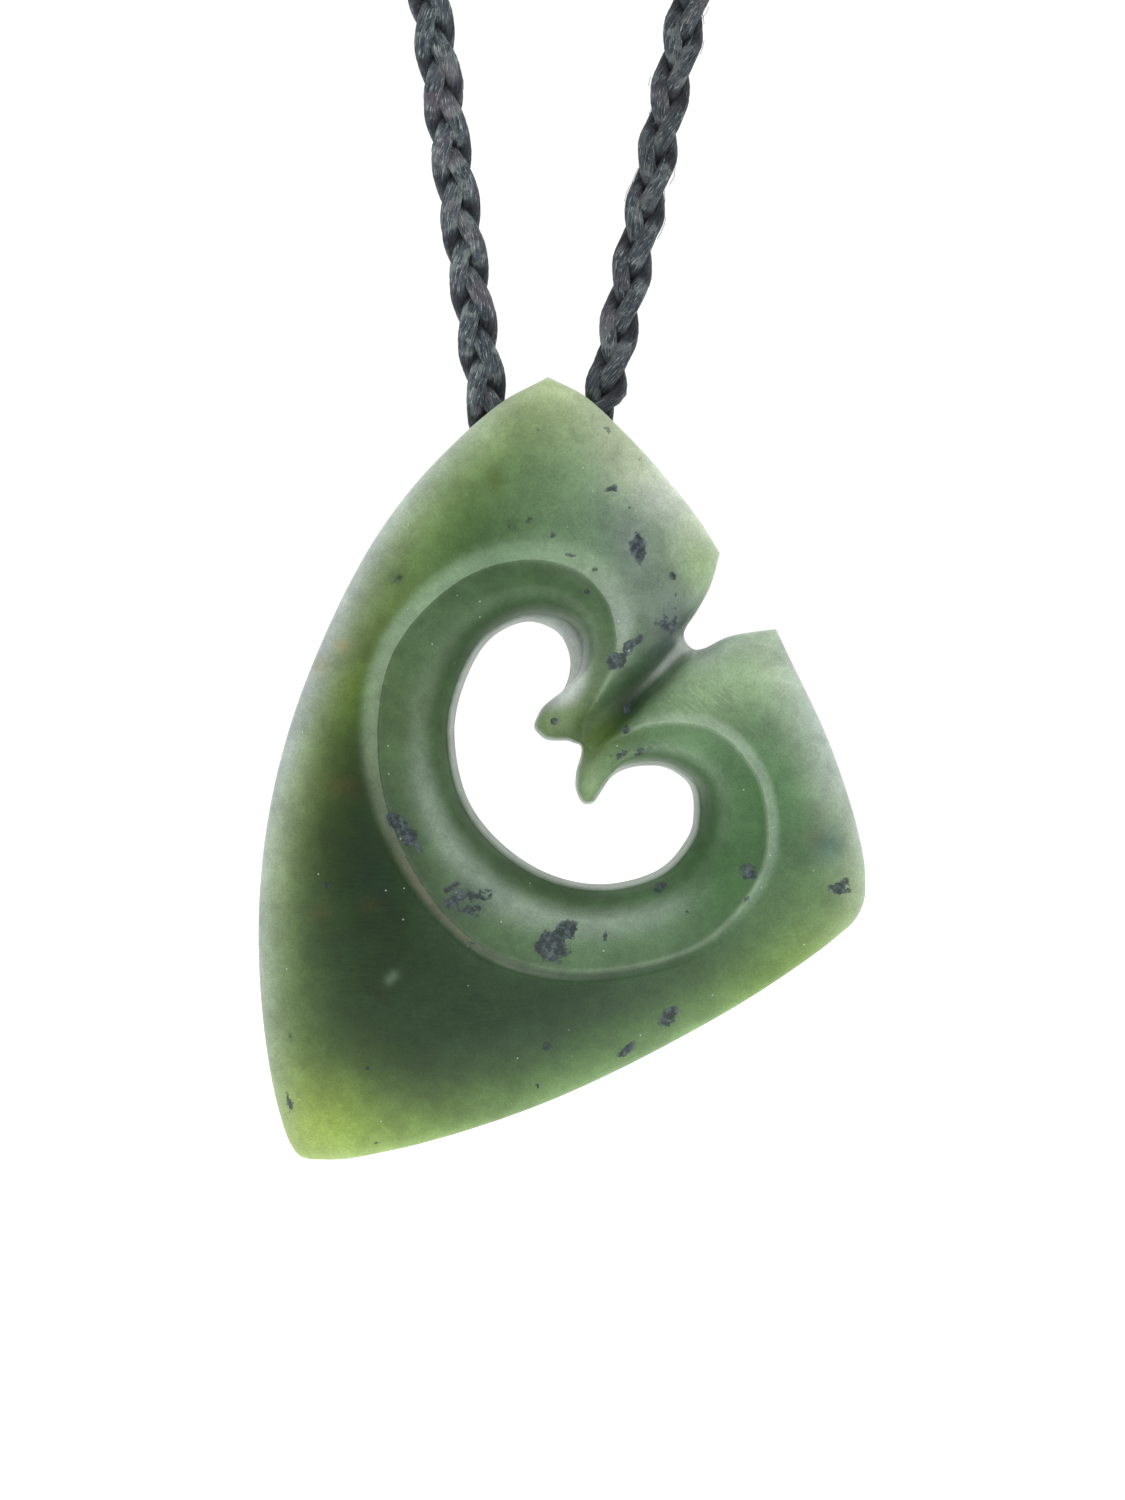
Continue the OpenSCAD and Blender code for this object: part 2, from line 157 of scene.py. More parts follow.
def unit(v):
    return v / np.linalg.norm(v, axis=-1, keepdims=True)


FRONT = np.array([0, -1, 0])


def heading(angle):
    return np.stack([np.cos(angle), np.sin(angle)], -1)


def upright(flat):
    """Places or directions of the cord's plane, in space."""
    return np.stack([flat[..., 0], 0 * flat[..., 0], flat[..., 1]], -1)


# Points measured at a time
BATCH = 4000


def nearest(points, line, first=0, closed=True):
    """Distance of each point from a line of points, and the section where it is nearest."""
    out, section = np.empty(len(points)), np.empty(len(points))
    follow = np.roll(line, -1, axis=0)
    for start in range(0, len(points), BATCH):
        p = points[start:start + BATCH]
        near = ((p[:, None] - line) ** 2).sum(2).argmin(1)
        best = np.full(len(p), np.inf)
        at = np.zeros(len(p))
        for k in (near - 1, near):
            k = k if closed else np.clip(k, 0, len(line) - 2)
            a, b = line[k], follow[k]
            ab = b - a
            u = np.clip(((p - a) * ab).sum(1) / (ab * ab).sum(1), 0, 1)
            d = np.linalg.norm(p - a - ab * u[:, None], axis=1)
            at = np.where(d < best, k + u, at)
            best = np.minimum(best, d)
        out[start:start + BATCH] = best
        section[start:start + BATCH] = (first + at / STEPS) % SECTIONS
    return out, section


# The outer edge's runs from turn to turn, by section, and how softly their distances blend
RUNS = [(12, 27), (27, 54), (54, 79), (79, 88), (88, 108)]
BLEND = 0.35
BLEND_AT_EDGE = 0.02


def from_edge(points):
    """Soft distance from the outer edge, and each run's share and nearest section there."""
    found = []
    for first, last in RUNS:
        k = np.arange(first * STEPS, last * STEPS + 1) % len(outline)
        found.append(nearest(points, outline[k], first, closed=False))
    d, sections = np.stack(found, -1)
    least = d.min(1)
    weights = np.exp((least[:, None] - d) / (BLEND * least[:, None] + BLEND_AT_EDGE))
    soft = least * (1 - BLEND * np.log(weights.sum(1)))
    shares = weights / weights.sum(1, keepdims=True)
    return soft, shares, sections


def inside(points, loop):
    """Whether each point is inside a closed line of points."""
    x, z = points.T
    out = np.zeros(len(points), bool)
    for (ax, az), (bx, bz) in zip(loop, np.roll(loop, -1, axis=0)):
        with np.errstate(divide="ignore", invalid="ignore"):
            at = ax + (z - az) * (bx - ax) / (bz - az)
        out ^= ((az > z) != (bz > z)) & (x < at)
    return out


all_sections = np.arange(SECTIONS * STEPS) / STEPS
outline = along(OUTLINE, all_sections, CORNERS)
rib_line = along(RIB_LINE, all_sections)
hole_edge = along(HOLE_EDGE, all_sections)
relief = along(RELIEF, all_sections)
rim_at, face_at, crest_at = (np.minimum(relief[:, i], 1) * face_height for i in range(3))
step_at, chamfer_at, bevel_at = relief[:, 3:].T
inward = unit(rib_line - outline)
outward = unit(rib_line - hole_edge)


def blurred(values, width):
    """Rows of values smoothed round the stone, over a width counted in sections."""
    reach = int(3 * width * STEPS)
    steps = np.arange(-reach, reach + 1)
    weights = np.exp(-0.5 * (steps / (width * STEPS)) ** 2)
    weights /= weights.sum()
    return sum(w * np.roll(values, k, axis=1) for k, w in zip(steps, weights))


def crowded(count, power):
    """Shares from 0 to 1 that lie closer together towards 1."""
    return 1 - (1 - np.linspace(0, 1, count)) ** power


def rim_offset(width, degrees):
    return width * (1 - np.cos(np.radians(degrees)))


def by_column(places, measure, *line):
    """A measure of all points, as a grid by column and section."""
    return measure(np.concatenate(places), *line)[0].reshape(len(places), -1)


def front_columns():
    """Columns from the rim over the front to the rib's foot: places, and heights."""
    width = np.linalg.norm(rib_line - outline, axis=1, keepdims=True)
    offsets = [rim_offset(RIM_ROUND, a) for a in RIM_ANGLES]
    offsets += [RIM_ROUND + (width - RIM_ROUND) * q for q in crowded(FRONT_COLUMNS, FRONT_CROWDING)]
    places = [outline + inward * d for d in offsets]
    d_out = by_column(places, from_edge)
    d_rib = by_column(places, nearest, rib_line)
    rim_front = np.minimum(rim_at + RIM_RISE, face_at)
    dome = rim_front + (face_at - rim_front) * ease(d_out / EDGE_ROLL)
    dome += (blurred(dome, RIDGE_BLUR) - dome) * smooth_step((d_out - RIDGE_FROM) / RIDGE_FADE)
    height = rim_at + (dome - rim_at) * np.sqrt(ease(d_out / RIM_ROUND))
    height -= step_at * np.clip(1 - d_rib / bevel_at, 0, 1) ** BEVEL_POWER
    return list(zip(places, height))


def rib_columns(foot):
    """Columns from the rib's foot over its crest to the hole's lip, its chamfer and its wall."""
    lip = hole_edge + outward * chamfer_at[:, None]
    lip_height = np.minimum(HOLE_FRONT, crest_at - LEAST_RIB)
    columns = []
    for t in (0.5 - 0.5 * np.cos(np.pi * np.linspace(0, 1, RIB_COLUMNS)))[1:]:
        if t < RIB_CREST_AT:
            drop = (crest_at - foot) * ((RIB_CREST_AT - t) / RIB_CREST_AT) ** 2
        else:
            drop = (crest_at - lip_height) * ((t - RIB_CREST_AT) / (1 - RIB_CREST_AT)) ** RIB_POWER
        columns.append((rib_line + (lip - rib_line) * t, crest_at - drop))
    for a in np.radians(CHAMFER_ANGLES):
        height = HOLE_MIDDLE + (lip_height - HOLE_MIDDLE) * math.cos(a)
        columns.append((lip + (hole_edge - lip) * math.sin(a), height))
    for t in WALL_SHARES:
        height = HOLE_MIDDLE + (BACK_CHAMFER - back_depth - HOLE_MIDDLE) * t
        columns.append((hole_edge, np.full(len(outline), height)))
    return columns


def back_columns():
    """Columns over the back, from the hole to the rim."""
    start = hole_edge + outward * BACK_CHAMFER
    stop = outline + inward * RIM_BACK_ROUND
    places = [start + (stop - start) * q for q in crowded(BACK_COLUMNS, BACK_CROWDING)]
    places += [outline + inward * rim_offset(RIM_BACK_ROUND, a) for a in RIM_ANGLES[:0:-1]]
    d_out = by_column(places, from_edge)
    depth = RIM_BACK + (back_depth - RIM_BACK) * ease(d_out / EDGE_ROLL)
    height = rim_at - (rim_at + depth) * np.sqrt(ease(d_out / RIM_BACK_ROUND))
    return list(zip(places, height))


def new_object(name, data):
    made = bpy.data.objects.new(name, data)
    scene.collection.objects.link(made)
    return made


def mesh_object(name, points, faces):
    """A smooth mesh from points in millimetres."""
    mesh = bpy.data.meshes.new(name)
    mesh.from_pydata((np.reshape(points, (-1, 3)) * MM).tolist(), [], faces)
    mesh.shade_smooth()
    return new_object(name, mesh)


def grid(rows, columns):
    return np.arange(rows * columns).reshape(rows, columns)


def skin(index):
    """Faces between the rows of a grid of point numbers, each row closed."""
    p, q = index[:-1], index[1:]
    return np.stack([p, q, np.roll(q, -1, 1), np.roll(p, -1, 1)], -1).reshape(-1, 4).tolist()


def tube(index):
    return skin(index) + [index[0].tolist(), index[-1][::-1].tolist()]


# The cord's way through the stone: a bridge, two pockets and a bore between them, and its legs' lean
BRIDGE_HALF = 1.8
BEND_RADIUS = 2.0
POCKET_FRONT = 1.9
POCKET_LENGTH = 2 * HANG_DEPTH + 1
BORE_R = 1.9
left_lean, right_lean = math.radians(8.2), math.radians(12.3)
HALF_ROUND = 24
# Edges that turn by more degrees stay sharp
SHARP_ANGLE = 34


def prism(name, near, far):
    """A cutting solid between two like rings of points."""
    return mesh_object(name, np.vstack([near, far]), tube(grid(2, len(near))))


def pocket(side, lean):
    """The pocket that one leg of the cord rises through, round at its foot."""
    arc = BEND_RADIUS * heading(math.pi * (1 + np.arange(HALF_ROUND + 1) / HALF_ROUND))
    shape = np.vstack([arc, [(BEND_RADIUS, POCKET_LENGTH), (-BEND_RADIUS, POCKET_LENGTH)]])
    foot = bore + (side * (BRIDGE_HALF + BEND_RADIUS), 0, 0)
    turned = foot + upright(shape @ [heading(-side * lean), heading(math.pi / 2 - side * lean)])
    return prism("pocket", turned + POCKET_FRONT * FRONT, turned - 2 * back_depth * FRONT)


def bore_cutter():
    arc = BORE_R * heading(math.pi * np.arange(2 * HALF_ROUND) / HALF_ROUND)
    ring = bore + np.column_stack([0 * arc[:, 0], arc])
    end = (2 * BRIDGE_HALF, 0, 0)
    return prism("bore_cut", ring + end, ring - end)


def build_stone():
    columns = front_columns()
    columns += rib_columns(columns[-1][1])
    columns += back_columns()
    points = [np.stack([place[:, 0], -height, place[:, 1]], 1) + top_point for place, height in columns]
    index = grid(len(outline), len(columns))
    stone = mesh_object("greenstone_hook", np.stack(points, 1), skin(np.vstack([index, index[:1]])))
    for tool in (pocket(-1, left_lean), pocket(1, right_lean), bore_cutter()):
        cut = stone.modifiers.new("cut", "BOOLEAN")
        cut.object = tool
        cut.operation = "DIFFERENCE"
        cut.solver = "MANIFOLD"
        bpy.context.view_layer.objects.active = stone
        bpy.ops.object.modifier_apply(modifier=cut.name)
        bpy.data.objects.remove(tool)
    stone.data.materials.clear()
    stone.data.set_sharp_from_angle(angle=math.radians(SHARP_ANGLE))
    return stone


def linear(colour):
    """Linear colour from one as the eye reads it, 0 to 255."""
    c = np.array(colour, float) / 255
    return np.where(c <= 0.04045, c / 12.92, ((c + 0.055) / 1.055) ** 2.4)


# What the light adds comes off the stone's colours, and their depth and darkest tone
LIGHT_GAIN, LIGHT_HAZE = 1.1, 0.02
DEPTH_OF_COLOUR, DARKEST = 1.15, 0.004

# Broad tints: x, z, half-length, half-width, tilt in degrees, strength, red, green, blue
PATCHES = [
    (-12.2, -37, 15, 6.5, -72, 1, 42, 58, 38), (-13, -29.5, 6, 4, -85, 0.8, 46, 60, 40),
    (-11, -43.5, 5.5, 4.5, -40, 0.9, 46, 60, 42), (-5, -46, 10.5, 5, 15, 1, 54, 71, 53),
    (1.5, -45.6, 6.5, 3.6, 22, 0.9, 58, 76, 58), (10, -42.6, 5.5, 2.6, 32, 0.85, 66, 85, 65),
    (-4.8, -11.4, 5.5, 3.2, 48, 0.85, 68, 92, 58), (-10.8, -16.5, 3.2, 2.2, 60, 0.7, 84, 104, 66),
    (-13.8, -21.8, 3.8, 1.9, 68, 0.95, 66, 84, 40), (0.9, -8, 4.5, 4, 0, 0.8, 103, 128, 98),
    (4.6, -10, 3, 3, -30, 0.7, 113, 136, 113), (7.5, -9, 5, 2.4, -48, 0.5, 150, 165, 148),
    (6.6, -12, 2.4, 2, -50, 0.8, 106, 122, 114), (8.2, -15.9, 3, 3, 60, 0.85, 114, 126, 116),
    (13.8, -21, 4.8, 2.8, 25, 0.95, 158, 180, 146), (16.2, -27.8, 2.4, 1.8, -70, 0.7, 100, 128, 96),
    (17.5, -30.5, 6, 2.6, -75, 0.6, 100, 127, 96), (18, -35.2, 4.5, 3.5, 0, 0.75, 92, 118, 88),
    (20, -32.6, 1.8, 1.8, 0, 0.5, 94, 112, 100),
]
BODY = (98, 122, 94)
# Painted light and shade: a highlight on the rib's crest, shade on its slopes, a highlight line at its
# foot, a reflection on the outer rim and light on the hole's lip
CREST_HIGHLIGHT = (146, 162, 146)
RIB_SHADE = (58, 78, 54)
LINE_HIGHLIGHT = (172, 192, 166)
RIM_REFLECTION = (182, 190, 190)
LIP_LIGHT = (206, 212, 210)

# Painted light that enters at the thin edge: section, strength, width, power of its fall, red, green,
# blue, and the strength of the painted reflection on the greyish rim; then that rim's width and power
EDGE_GLOW = np.array([
    [3, 0.3, 1.2, 1.4, 150, 170, 140, 0.3], [9, 0.7, 2, 1.4, 168, 188, 156, 0.2],
    [12, 0.9, 2.4, 1.5, 194, 208, 180, 0.1], [17, 1, 2.4, 1.5, 208, 218, 200, 0.2],
    [22, 0.9, 2.6, 1.4, 188, 202, 168, 0.2], [27, 0.95, 3, 1.4, 184, 200, 152, 0.2],
    [31, 0.85, 3, 1.5, 152, 174, 112, 0.65], [36, 0.85, 3.2, 1.6, 140, 160, 98, 0.9],
    [40, 0.85, 3, 1.8, 136, 158, 96, 0.9], [44, 0.9, 2.6, 1.7, 140, 160, 100, 0.7],
    [49, 0.9, 3, 1.6, 128, 150, 86, 0.5], [53, 1, 4.8, 2.2, 164, 186, 98, 0.3],
    [56, 1, 4.4, 2, 154, 178, 92, 0.2], [59, 1, 3.2, 1.5, 130, 156, 88, 0.1],
    [62, 1, 2.4, 1.35, 118, 146, 86, 0.1], [70, 1, 2.1, 1.35, 122, 152, 98, 0.1],
    [76, 0.95, 2.4, 1.4, 132, 158, 90, 0.1], [79, 0.95, 2, 1.5, 154, 174, 118, 0.4],
    [84, 0.9, 2.6, 1.5, 178, 194, 172, 0.6], [88, 0.9, 3, 1.5, 180, 198, 168, 0.4],
    [93, 0.4, 1.4, 1.4, 150, 172, 144, 0.5],
])
RIM_GLOW = (1.5, 1.6)
# Painted light and shade round the hole: section; strength, width and power of the pale band outside
# the rib, a painted reflection; strengths of the painted highlight line at its foot, the painted
# highlight on its crest, the painted shade on the slope inside and in the strip at its foot; and the
# softness and paleness of the painted light on the hole's lip
ROUND_HOLE = np.array([
    [1, 0, 0.8, 2.5, 0, 0.1, 0.2, 0, 0.4, 0.3], [5, 0.2, 1.2, 2.5, 0.4, 0.2, 0.2, 0, 0.6, 0.3],
    [7, 0.5, 1.2, 4, 0.3, 0.2, 0.4, 0, 1, 0.25], [9, 0.85, 1.15, 5, 0.3, 0.2, 0.6, 0, 1.3, 0.8],
    [14, 0.9, 1.9, 4, 0.2, 0.1, 0.9, 0, 1.3, 0.9], [20, 0.9, 1.9, 3, 0.2, 0, 1, 0, 1.6, 0.7],
    [27, 0.95, 1.5, 3, 0.1, 0, 1, 0, 1.2, 0.4], [36, 1, 1.2, 4, 0.1, 0, 0.8, 0, 0.5, 0.55],
    [45, 1, 1.15, 4, 0.1, 0.35, 0.5, 0.1, 0.4, 0.6], [50, 0.9, 0.9, 4, 0.1, 0.8, 0.6, 0.5, 0.4, 0.5],
    [56, 0.85, 0.6, 4, 0.1, 1, 0.7, 0.7, 0.4, 0.45], [61, 0.7, 0.45, 4, 0.1, 1, 0.8, 0.5, 0.4, 0.4],
    [65, 0.3, 0.8, 4, 0.2, 0.9, 0.8, 0.2, 0.4, 0.4], [74, 0.2, 0.8, 3, 0.4, 0.7, 0.6, 0.1, 0.4, 0.5],
    [80, 0.6, 0.7, 4, 0.5, 0.1, 0.4, 0, 0.4, 0.5], [86, 0.85, 0.75, 5, 0.5, 0.1, 0.8, 0, 0.4, 0.5],
    [91, 0.65, 0.8, 4, 0.4, 0.2, 0.7, 0, 0.4, 0.4], [94, 0.1, 0.6, 2.5, 0.4, 0.2, 0.2, 0, 0.4, 0.4],
])
# Tints round the hole: section, the rib's red, green, blue and the pale band's, a painted reflection
HOLE_TINTS = np.array([
    [1, 98, 118, 86, 120, 138, 112], [9, 92, 112, 86, 152, 166, 152], [14, 90, 110, 84, 150, 164, 150],
    [20, 82, 103, 76, 138, 158, 134], [27, 80, 100, 74, 118, 142, 114], [36, 92, 112, 86, 134, 155, 128],
    [44, 92, 112, 82, 128, 146, 120], [50, 90, 110, 84, 116, 128, 108], [58, 90, 111, 82, 118, 118, 102],
    [66, 94, 118, 88, 96, 112, 90], [74, 94, 119, 89, 112, 134, 108], [80, 76, 105, 71, 134, 156, 134],
    [86, 90, 118, 86, 152, 170, 152], [91, 108, 134, 103, 150, 168, 146],
])
# The rib's tint: its strength, its share at the foot and over how far it comes in; the width of the
# painted highlight line at its foot
RIB_TINT, RIB_TINT_START, RIB_TINT_OVER = 0.9, 0.4, 0.3
LINE_WIDTH = 0.18
# Shares of the way from the rib's foot to the hole: the strip of painted shade, the painted crest
# highlight, the start and run of the painted shade on the inner slope, and how a pale crest shifts and
# shortens that; then how far out the painted light on the lip reaches
STRIP_WIDTH = 0.2
CREST_MIDDLE, CREST_WIDTH = 0.54, 0.17
INNER_STRENGTH, INNER_START, INNER_RUN = 0.8, 0.45, 0.4
INNER_SHIFT, INNER_SHORTER = 0.2, 0.18
LIP_REACH = 0.75
# Small tints over the rest, in the same columns; the near-white one at the valley's notch is painted
# highlight where the stripe starts
TOUCHES = [
    (7.9, -20, 3.4, 1.3, 45, 0.75, 84, 101, 82), (5.6, -23.2, 3.2, 1, 46, 0.9, 60, 78, 60),
    (5.7, -23.5, 1.7, 0.55, 50, 0.7, 38, 52, 40), (3.5, -25.6, 1.6, 1.2, 40, 0.85, 92, 114, 58),
    (0.5, -24.4, 2, 1.1, 38, 0.85, 126, 144, 106), (2.9, -29.2, 2, 1, 80, 0.9, 150, 170, 134),
    (4.4, -27.6, 1.5, 0.7, 30, 0.6, 130, 154, 118), (8.9, -18.2, 2.4, 1.2, 62, 0.75, 90, 100, 98),
    (-10.9, -14.4, 0.7, 0.7, 0, 0.5, 66, 86, 62), (-11.1, -42.85, 0.42, 0.3, 35, 0.6, 124, 144, 120),
    (-14.8, -29.2, 1.4, 0.7, 0, 0.3, 96, 84, 60), (-16.3, -38.3, 0.7, 0.4, 0, 0.35, 104, 92, 66),
    (-12.6, -37.7, 0.8, 0.5, 0, 0.2, 84, 74, 56), (-12.1, -44, 0.4, 0.5, 0, 0.4, 50, 50, 38),
    (-3.9, -7.4, 0.5, 0.8, 20, 0.5, 84, 92, 52), (-14.7, -19.2, 0.5, 0.4, 0, 0.5, 170, 160, 124),
    (-16.3, -20.6, 0.6, 0.5, 0, 0.5, 176, 168, 140), (6.4, -12.2, 1, 1.4, 10, 0.5, 150, 160, 152),
    (-5.6, -37.4, 2, 1.5, 10, 0.5, 84, 98, 88), (5.6, -5.6, 2.4, 1.5, -48, 0.45, 180, 188, 160),
    (7.8, -8.8, 1.5, 0.9, -48, 0.4, 162, 166, 166), (-2.6, -11, 0.7, 0.5, 20, 0.35, 74, 88, 62),
    (-1.2, -10.4, 0.5, 0.4, 20, 0.35, 74, 88, 62), (16.8, -29.8, 5, 1.1, -75, 0.4, 82, 116, 80),
    (20, -33.5, 0.9, 1, 0, 0.75, 100, 128, 118), (19.4, -37.3, 1, 0.8, 0, 0.45, 94, 118, 82),
    (19.1, -33, 0.6, 0.5, 0, 0.4, 114, 112, 88), (19.9, -28.5, 1.5, 0.4, 80, 0.45, 146, 154, 150),
    (9.8, -19.15, 0.6, 0.35, -50, 0.9, 220, 224, 222), (10.8, -13.6, 1.5, 1, -70, 0.65, 166, 188, 146),
    (7.8, -11.7, 1.3, 1.1, 60, 0.5, 132, 150, 128),
]
# Painted highlight, a stripe on the valley's floor, from the notch to its faint end: x, z; its half-width
# at that end, how much wider it is at the notch, its loss on the way, the powers of its fade and edge
STRIPE = np.array([[9.8, -19.1], [9.1, -19.8], [7.9, -21.1], [6.8, -22.2], [5.6, -23.4]])
STRIPE_HIGHLIGHT = (208, 214, 208)
STRIPE_WIDTH, STRIPE_WIDER = 0.18, 0.27
STRIPE_LOSS, STRIPE_FADE, STRIPE_EDGE = 0.975, 1.5, 3
# Tool marks on the valley's lower side: x, z, half-length, half-width, tilt; and their run
SCRATCHED = (11.3, -22.9, 2.4, 1.0, 15)
SCRATCH_RUN = math.radians(-38)

# Dark inclusions: x, z, half-length, half-width, tilt in degrees, strength
INCLUSIONS = np.array([
    [-10.7, -31.9, 0.9, 0.5, -50, 1], [-10, -32.8, 0.7, 0.6, -40, 1], [-9.2, -33.7, 0.35, 0.25, -50, 0.9],
    [-5.8, -37.6, 1.5, 1, -15, 0.7], [-4.6, -37, 0.8, 0.5, 40, 0.75], [-7.2, -36.6, 0.35, 0.25, 50, 0.8],
    [-6.6, -36.2, 0.4, 0.2, 10, 0.7], [-5.4, -40.6, 0.5, 0.5, 0, 0.5], [0.3, -40.6, 1.3, 1.1, 30, 1],
    [1.3, -39.6, 0.9, 0.7, 40, 0.95], [4.1, -39.9, 0.2, 0.4, 0, 0.75], [4.3, -41.2, 0.35, 0.3, 0, 0.5],
    [8.6, -45.7, 0.9, 0.5, 50, 0.9], [5.7, -48, 0.85, 0.32, 45, 0.95], [-0.1, -47.8, 0.3, 0.35, 0, 0.7],
    [-0.8, -50.6, 0.22, 0.25, 0, 0.9], [-12.9, -49.4, 0.3, 0.3, 0, 0.8],
    [-18.4, -51.7, 0.35, 0.7, 15, 0.75], [-18.4, -47, 0.4, 0.5, 0, 0.45],
    [20.8, -36.6, 0.75, 0.5, -20, 0.85], [21.2, -36, 0.35, 0.3, 30, 0.75], [20.1, -37, 0.4, 0.3, 20, 0.75],
    [0.4, -11.4, 0.25, 0.2, 0, 0.6], [14.3, -35.3, 0.7, 0.6, 0, 0.85], [1.6, -12.8, 0.45, 0.2, -10, 0.6],
    [3.3, -13.8, 0.25, 0.2, 0, 0.6], [3.5, -12.3, 0.3, 0.2, -20, 0.65], [4.5, -12.2, 0.2, 0.2, 0, 0.55],
    [6.7, -6, 0.3, 0.3, 0, 0.4], [5.8, -9.4, 0.22, 0.2, 0, 0.65], [14.2, -37.4, 0.3, 0.4, 0, 0.6],
    [10, -38.3, 0.25, 0.3, 0, 0.75], [6.4, -12.2, 0.5, 1, 10, 1], [4.6, -8.1, 0.45, 0.28, 0, 0.75],
    [4.1, -3.8, 0.5, 0.25, -30, 0.5], [6.4, -7.5, 0.22, 0.25, 0, 0.6], [8.9, -14.2, 0.28, 0.4, 0, 0.75],
    [8.5, -17.6, 0.9, 0.9, 0, 0.66], [9.1, -16.1, 0.15, 0.7, 0, 0.7], [4.9, -20.3, 0.7, 0.6, 30, 1],
    [5.6, -19.5, 0.7, 0.45, 55, 0.85], [6.5, -18.8, 0.5, 0.3, 60, 0.7], [5.7, -23.7, 0.3, 0.5, -10, 0.8],
    [5.5, -25.2, 0.3, 0.35, 0, 0.8], [0.4, -24.6, 0.3, 0.3, 0, 0.95], [2.4, -26.1, 0.25, 0.25, 0, 0.7],
    [2.8, -15.4, 0.22, 0.22, 0, 0.8], [-10.9, -14.4, 0.5, 0.45, 0, 0.55], [-0.6, -4.1, 0.5, 0.4, 0, 0.35],
    [-2.7, -10.9, 0.9, 0.6, 0, 0.45], [-1.3, -10.3, 0.5, 0.3, 0, 0.45], [5.8, -26.9, 1.4, 0.4, 12, 0.6],
    [8, -36.4, 0.7, 0.4, 20, 0.7], [-15.9, -36.3, 0.4, 0.4, 0, 0.45], [-11.1, -42.6, 0.3, 0.3, 0, 0.3],
    [-12.2, -54.6, 0.3, 0.25, 0, 0.65],
])
INCLUSION_REACH = 1.6
# Small tints fade out this far before and behind the cord's plane
FRONT_FADE = 1.2
SPOT_FALL = 0.7


def fall(d, width, power=2):
    """1 at no distance, falling off over a width."""
    return np.exp(-(d / width) ** power)


def spot(points, x, z, length, width, tilt):
    """Distance from a tilted ellipse's middle, 1 at its edge."""
    a = math.radians(tilt)
    dx, dz = (points - (x, z)).T
    u = dx * math.cos(a) + dz * math.sin(a)
    v = dz * math.cos(a) - dx * math.sin(a)
    return np.hypot(u / length, v / width)


def soft_spot(points, *ellipse):
    return np.exp(-SPOT_FALL * spot(points, *ellipse) ** 2)


def put_attributes(mesh, layers):
    """Writes named numbers, or colours of four columns, to a mesh's points."""
    for name, values in layers.items():
        kind, field = ("FLOAT", "value") if values.ndim == 1 else ("FLOAT_COLOR", "color")
        layer = mesh.attributes.new(name, kind, "POINT")
        layer.data.foreach_set(field, values.astype(np.float32).ravel())


def edge_tints(lay, points):
    """Painted light along the outer edge: its glow, and the painted reflection on its rim."""
    d_out, shares, sections = from_edge(points)
    glow = sum(shares[:, k, None] * along(EDGE_GLOW, sections[:, k]) for k in range(len(RUNS)))
    strength, width, power = glow[:, :3].T
    lay(glow[:, 3:6], strength * fall(d_out, width, power))
    # Painted reflection on the rounded rim
    lay(RIM_REFLECTION, glow[:, 6] * fall(d_out, *RIM_GLOW))


def rib_tints(lay, points, front, d_hole):
    """The rib's tint, with painted light and shade: the crest's highlight, shade on its inner slope and at
    its foot, the highlight line, and the pale band outside it, a painted reflection.
    """
    d_rib, section = nearest(points, rib_line)
    in_rib = inside(points, rib_line)
    strength, width, power, line, crest, inner, strip = along(ROUND_HOLE, section)[:, :7].T
    tints = along(HOLE_TINTS, section)
    across = d_rib / (d_rib + d_hole + 1e-6)
    rib = in_rib * front
    slope = (across - INNER_START - INNER_SHIFT * crest) / (INNER_RUN - INNER_SHORTER * crest)
    lay(tints[:, :3], RIB_TINT * rib * smooth_step(d_rib / RIB_TINT_OVER + RIB_TINT_START))
    # Painted shade in the strip at the rib's foot
    lay(RIB_SHADE, strip * rib * fall(across, STRIP_WIDTH))
    # Painted highlight along the rib's crest
    lay(CREST_HIGHLIGHT, crest * rib * fall(across - CREST_MIDDLE, CREST_WIDTH))
    # Painted shade on the rib's inner slope towards the hole
    lay(RIB_SHADE, INNER_STRENGTH * inner * rib * smooth_step(slope))
    # The pale band outside the rib: a painted reflection
    lay(tints[:, 3:], strength * (~in_rib) * front * fall(d_rib, width, power))
    # Painted highlight along the line at the rib's foot
    lay(LINE_HIGHLIGHT, line * front * fall(d_rib, LINE_WIDTH))


def lip_light(lay, front, d_hole, section):
    """Painted light on the rounded lip of the hole, which makes it pale."""
    softness, paleness = along(ROUND_HOLE, section)[:, -2:].T
    lip = d_hole / along(RELIEF, section)[:, 4]
    lay(LIP_LIGHT, paleness * front * smooth_step((LIP_REACH + 0.5 * softness - lip) / softness))


# Painted highlight along the valley's floor
def stripe_highlight(lay, points, front):
    off, at = nearest(points, STRIPE, closed=False)
    fade = (1 - STRIPE_LOSS * at * STEPS / (len(STRIPE) - 1)) ** STRIPE_FADE
    lay(STRIPE_HIGHLIGHT, front * fade * fall(off, STRIPE_WIDTH + STRIPE_WIDER * fade, STRIPE_EDGE))


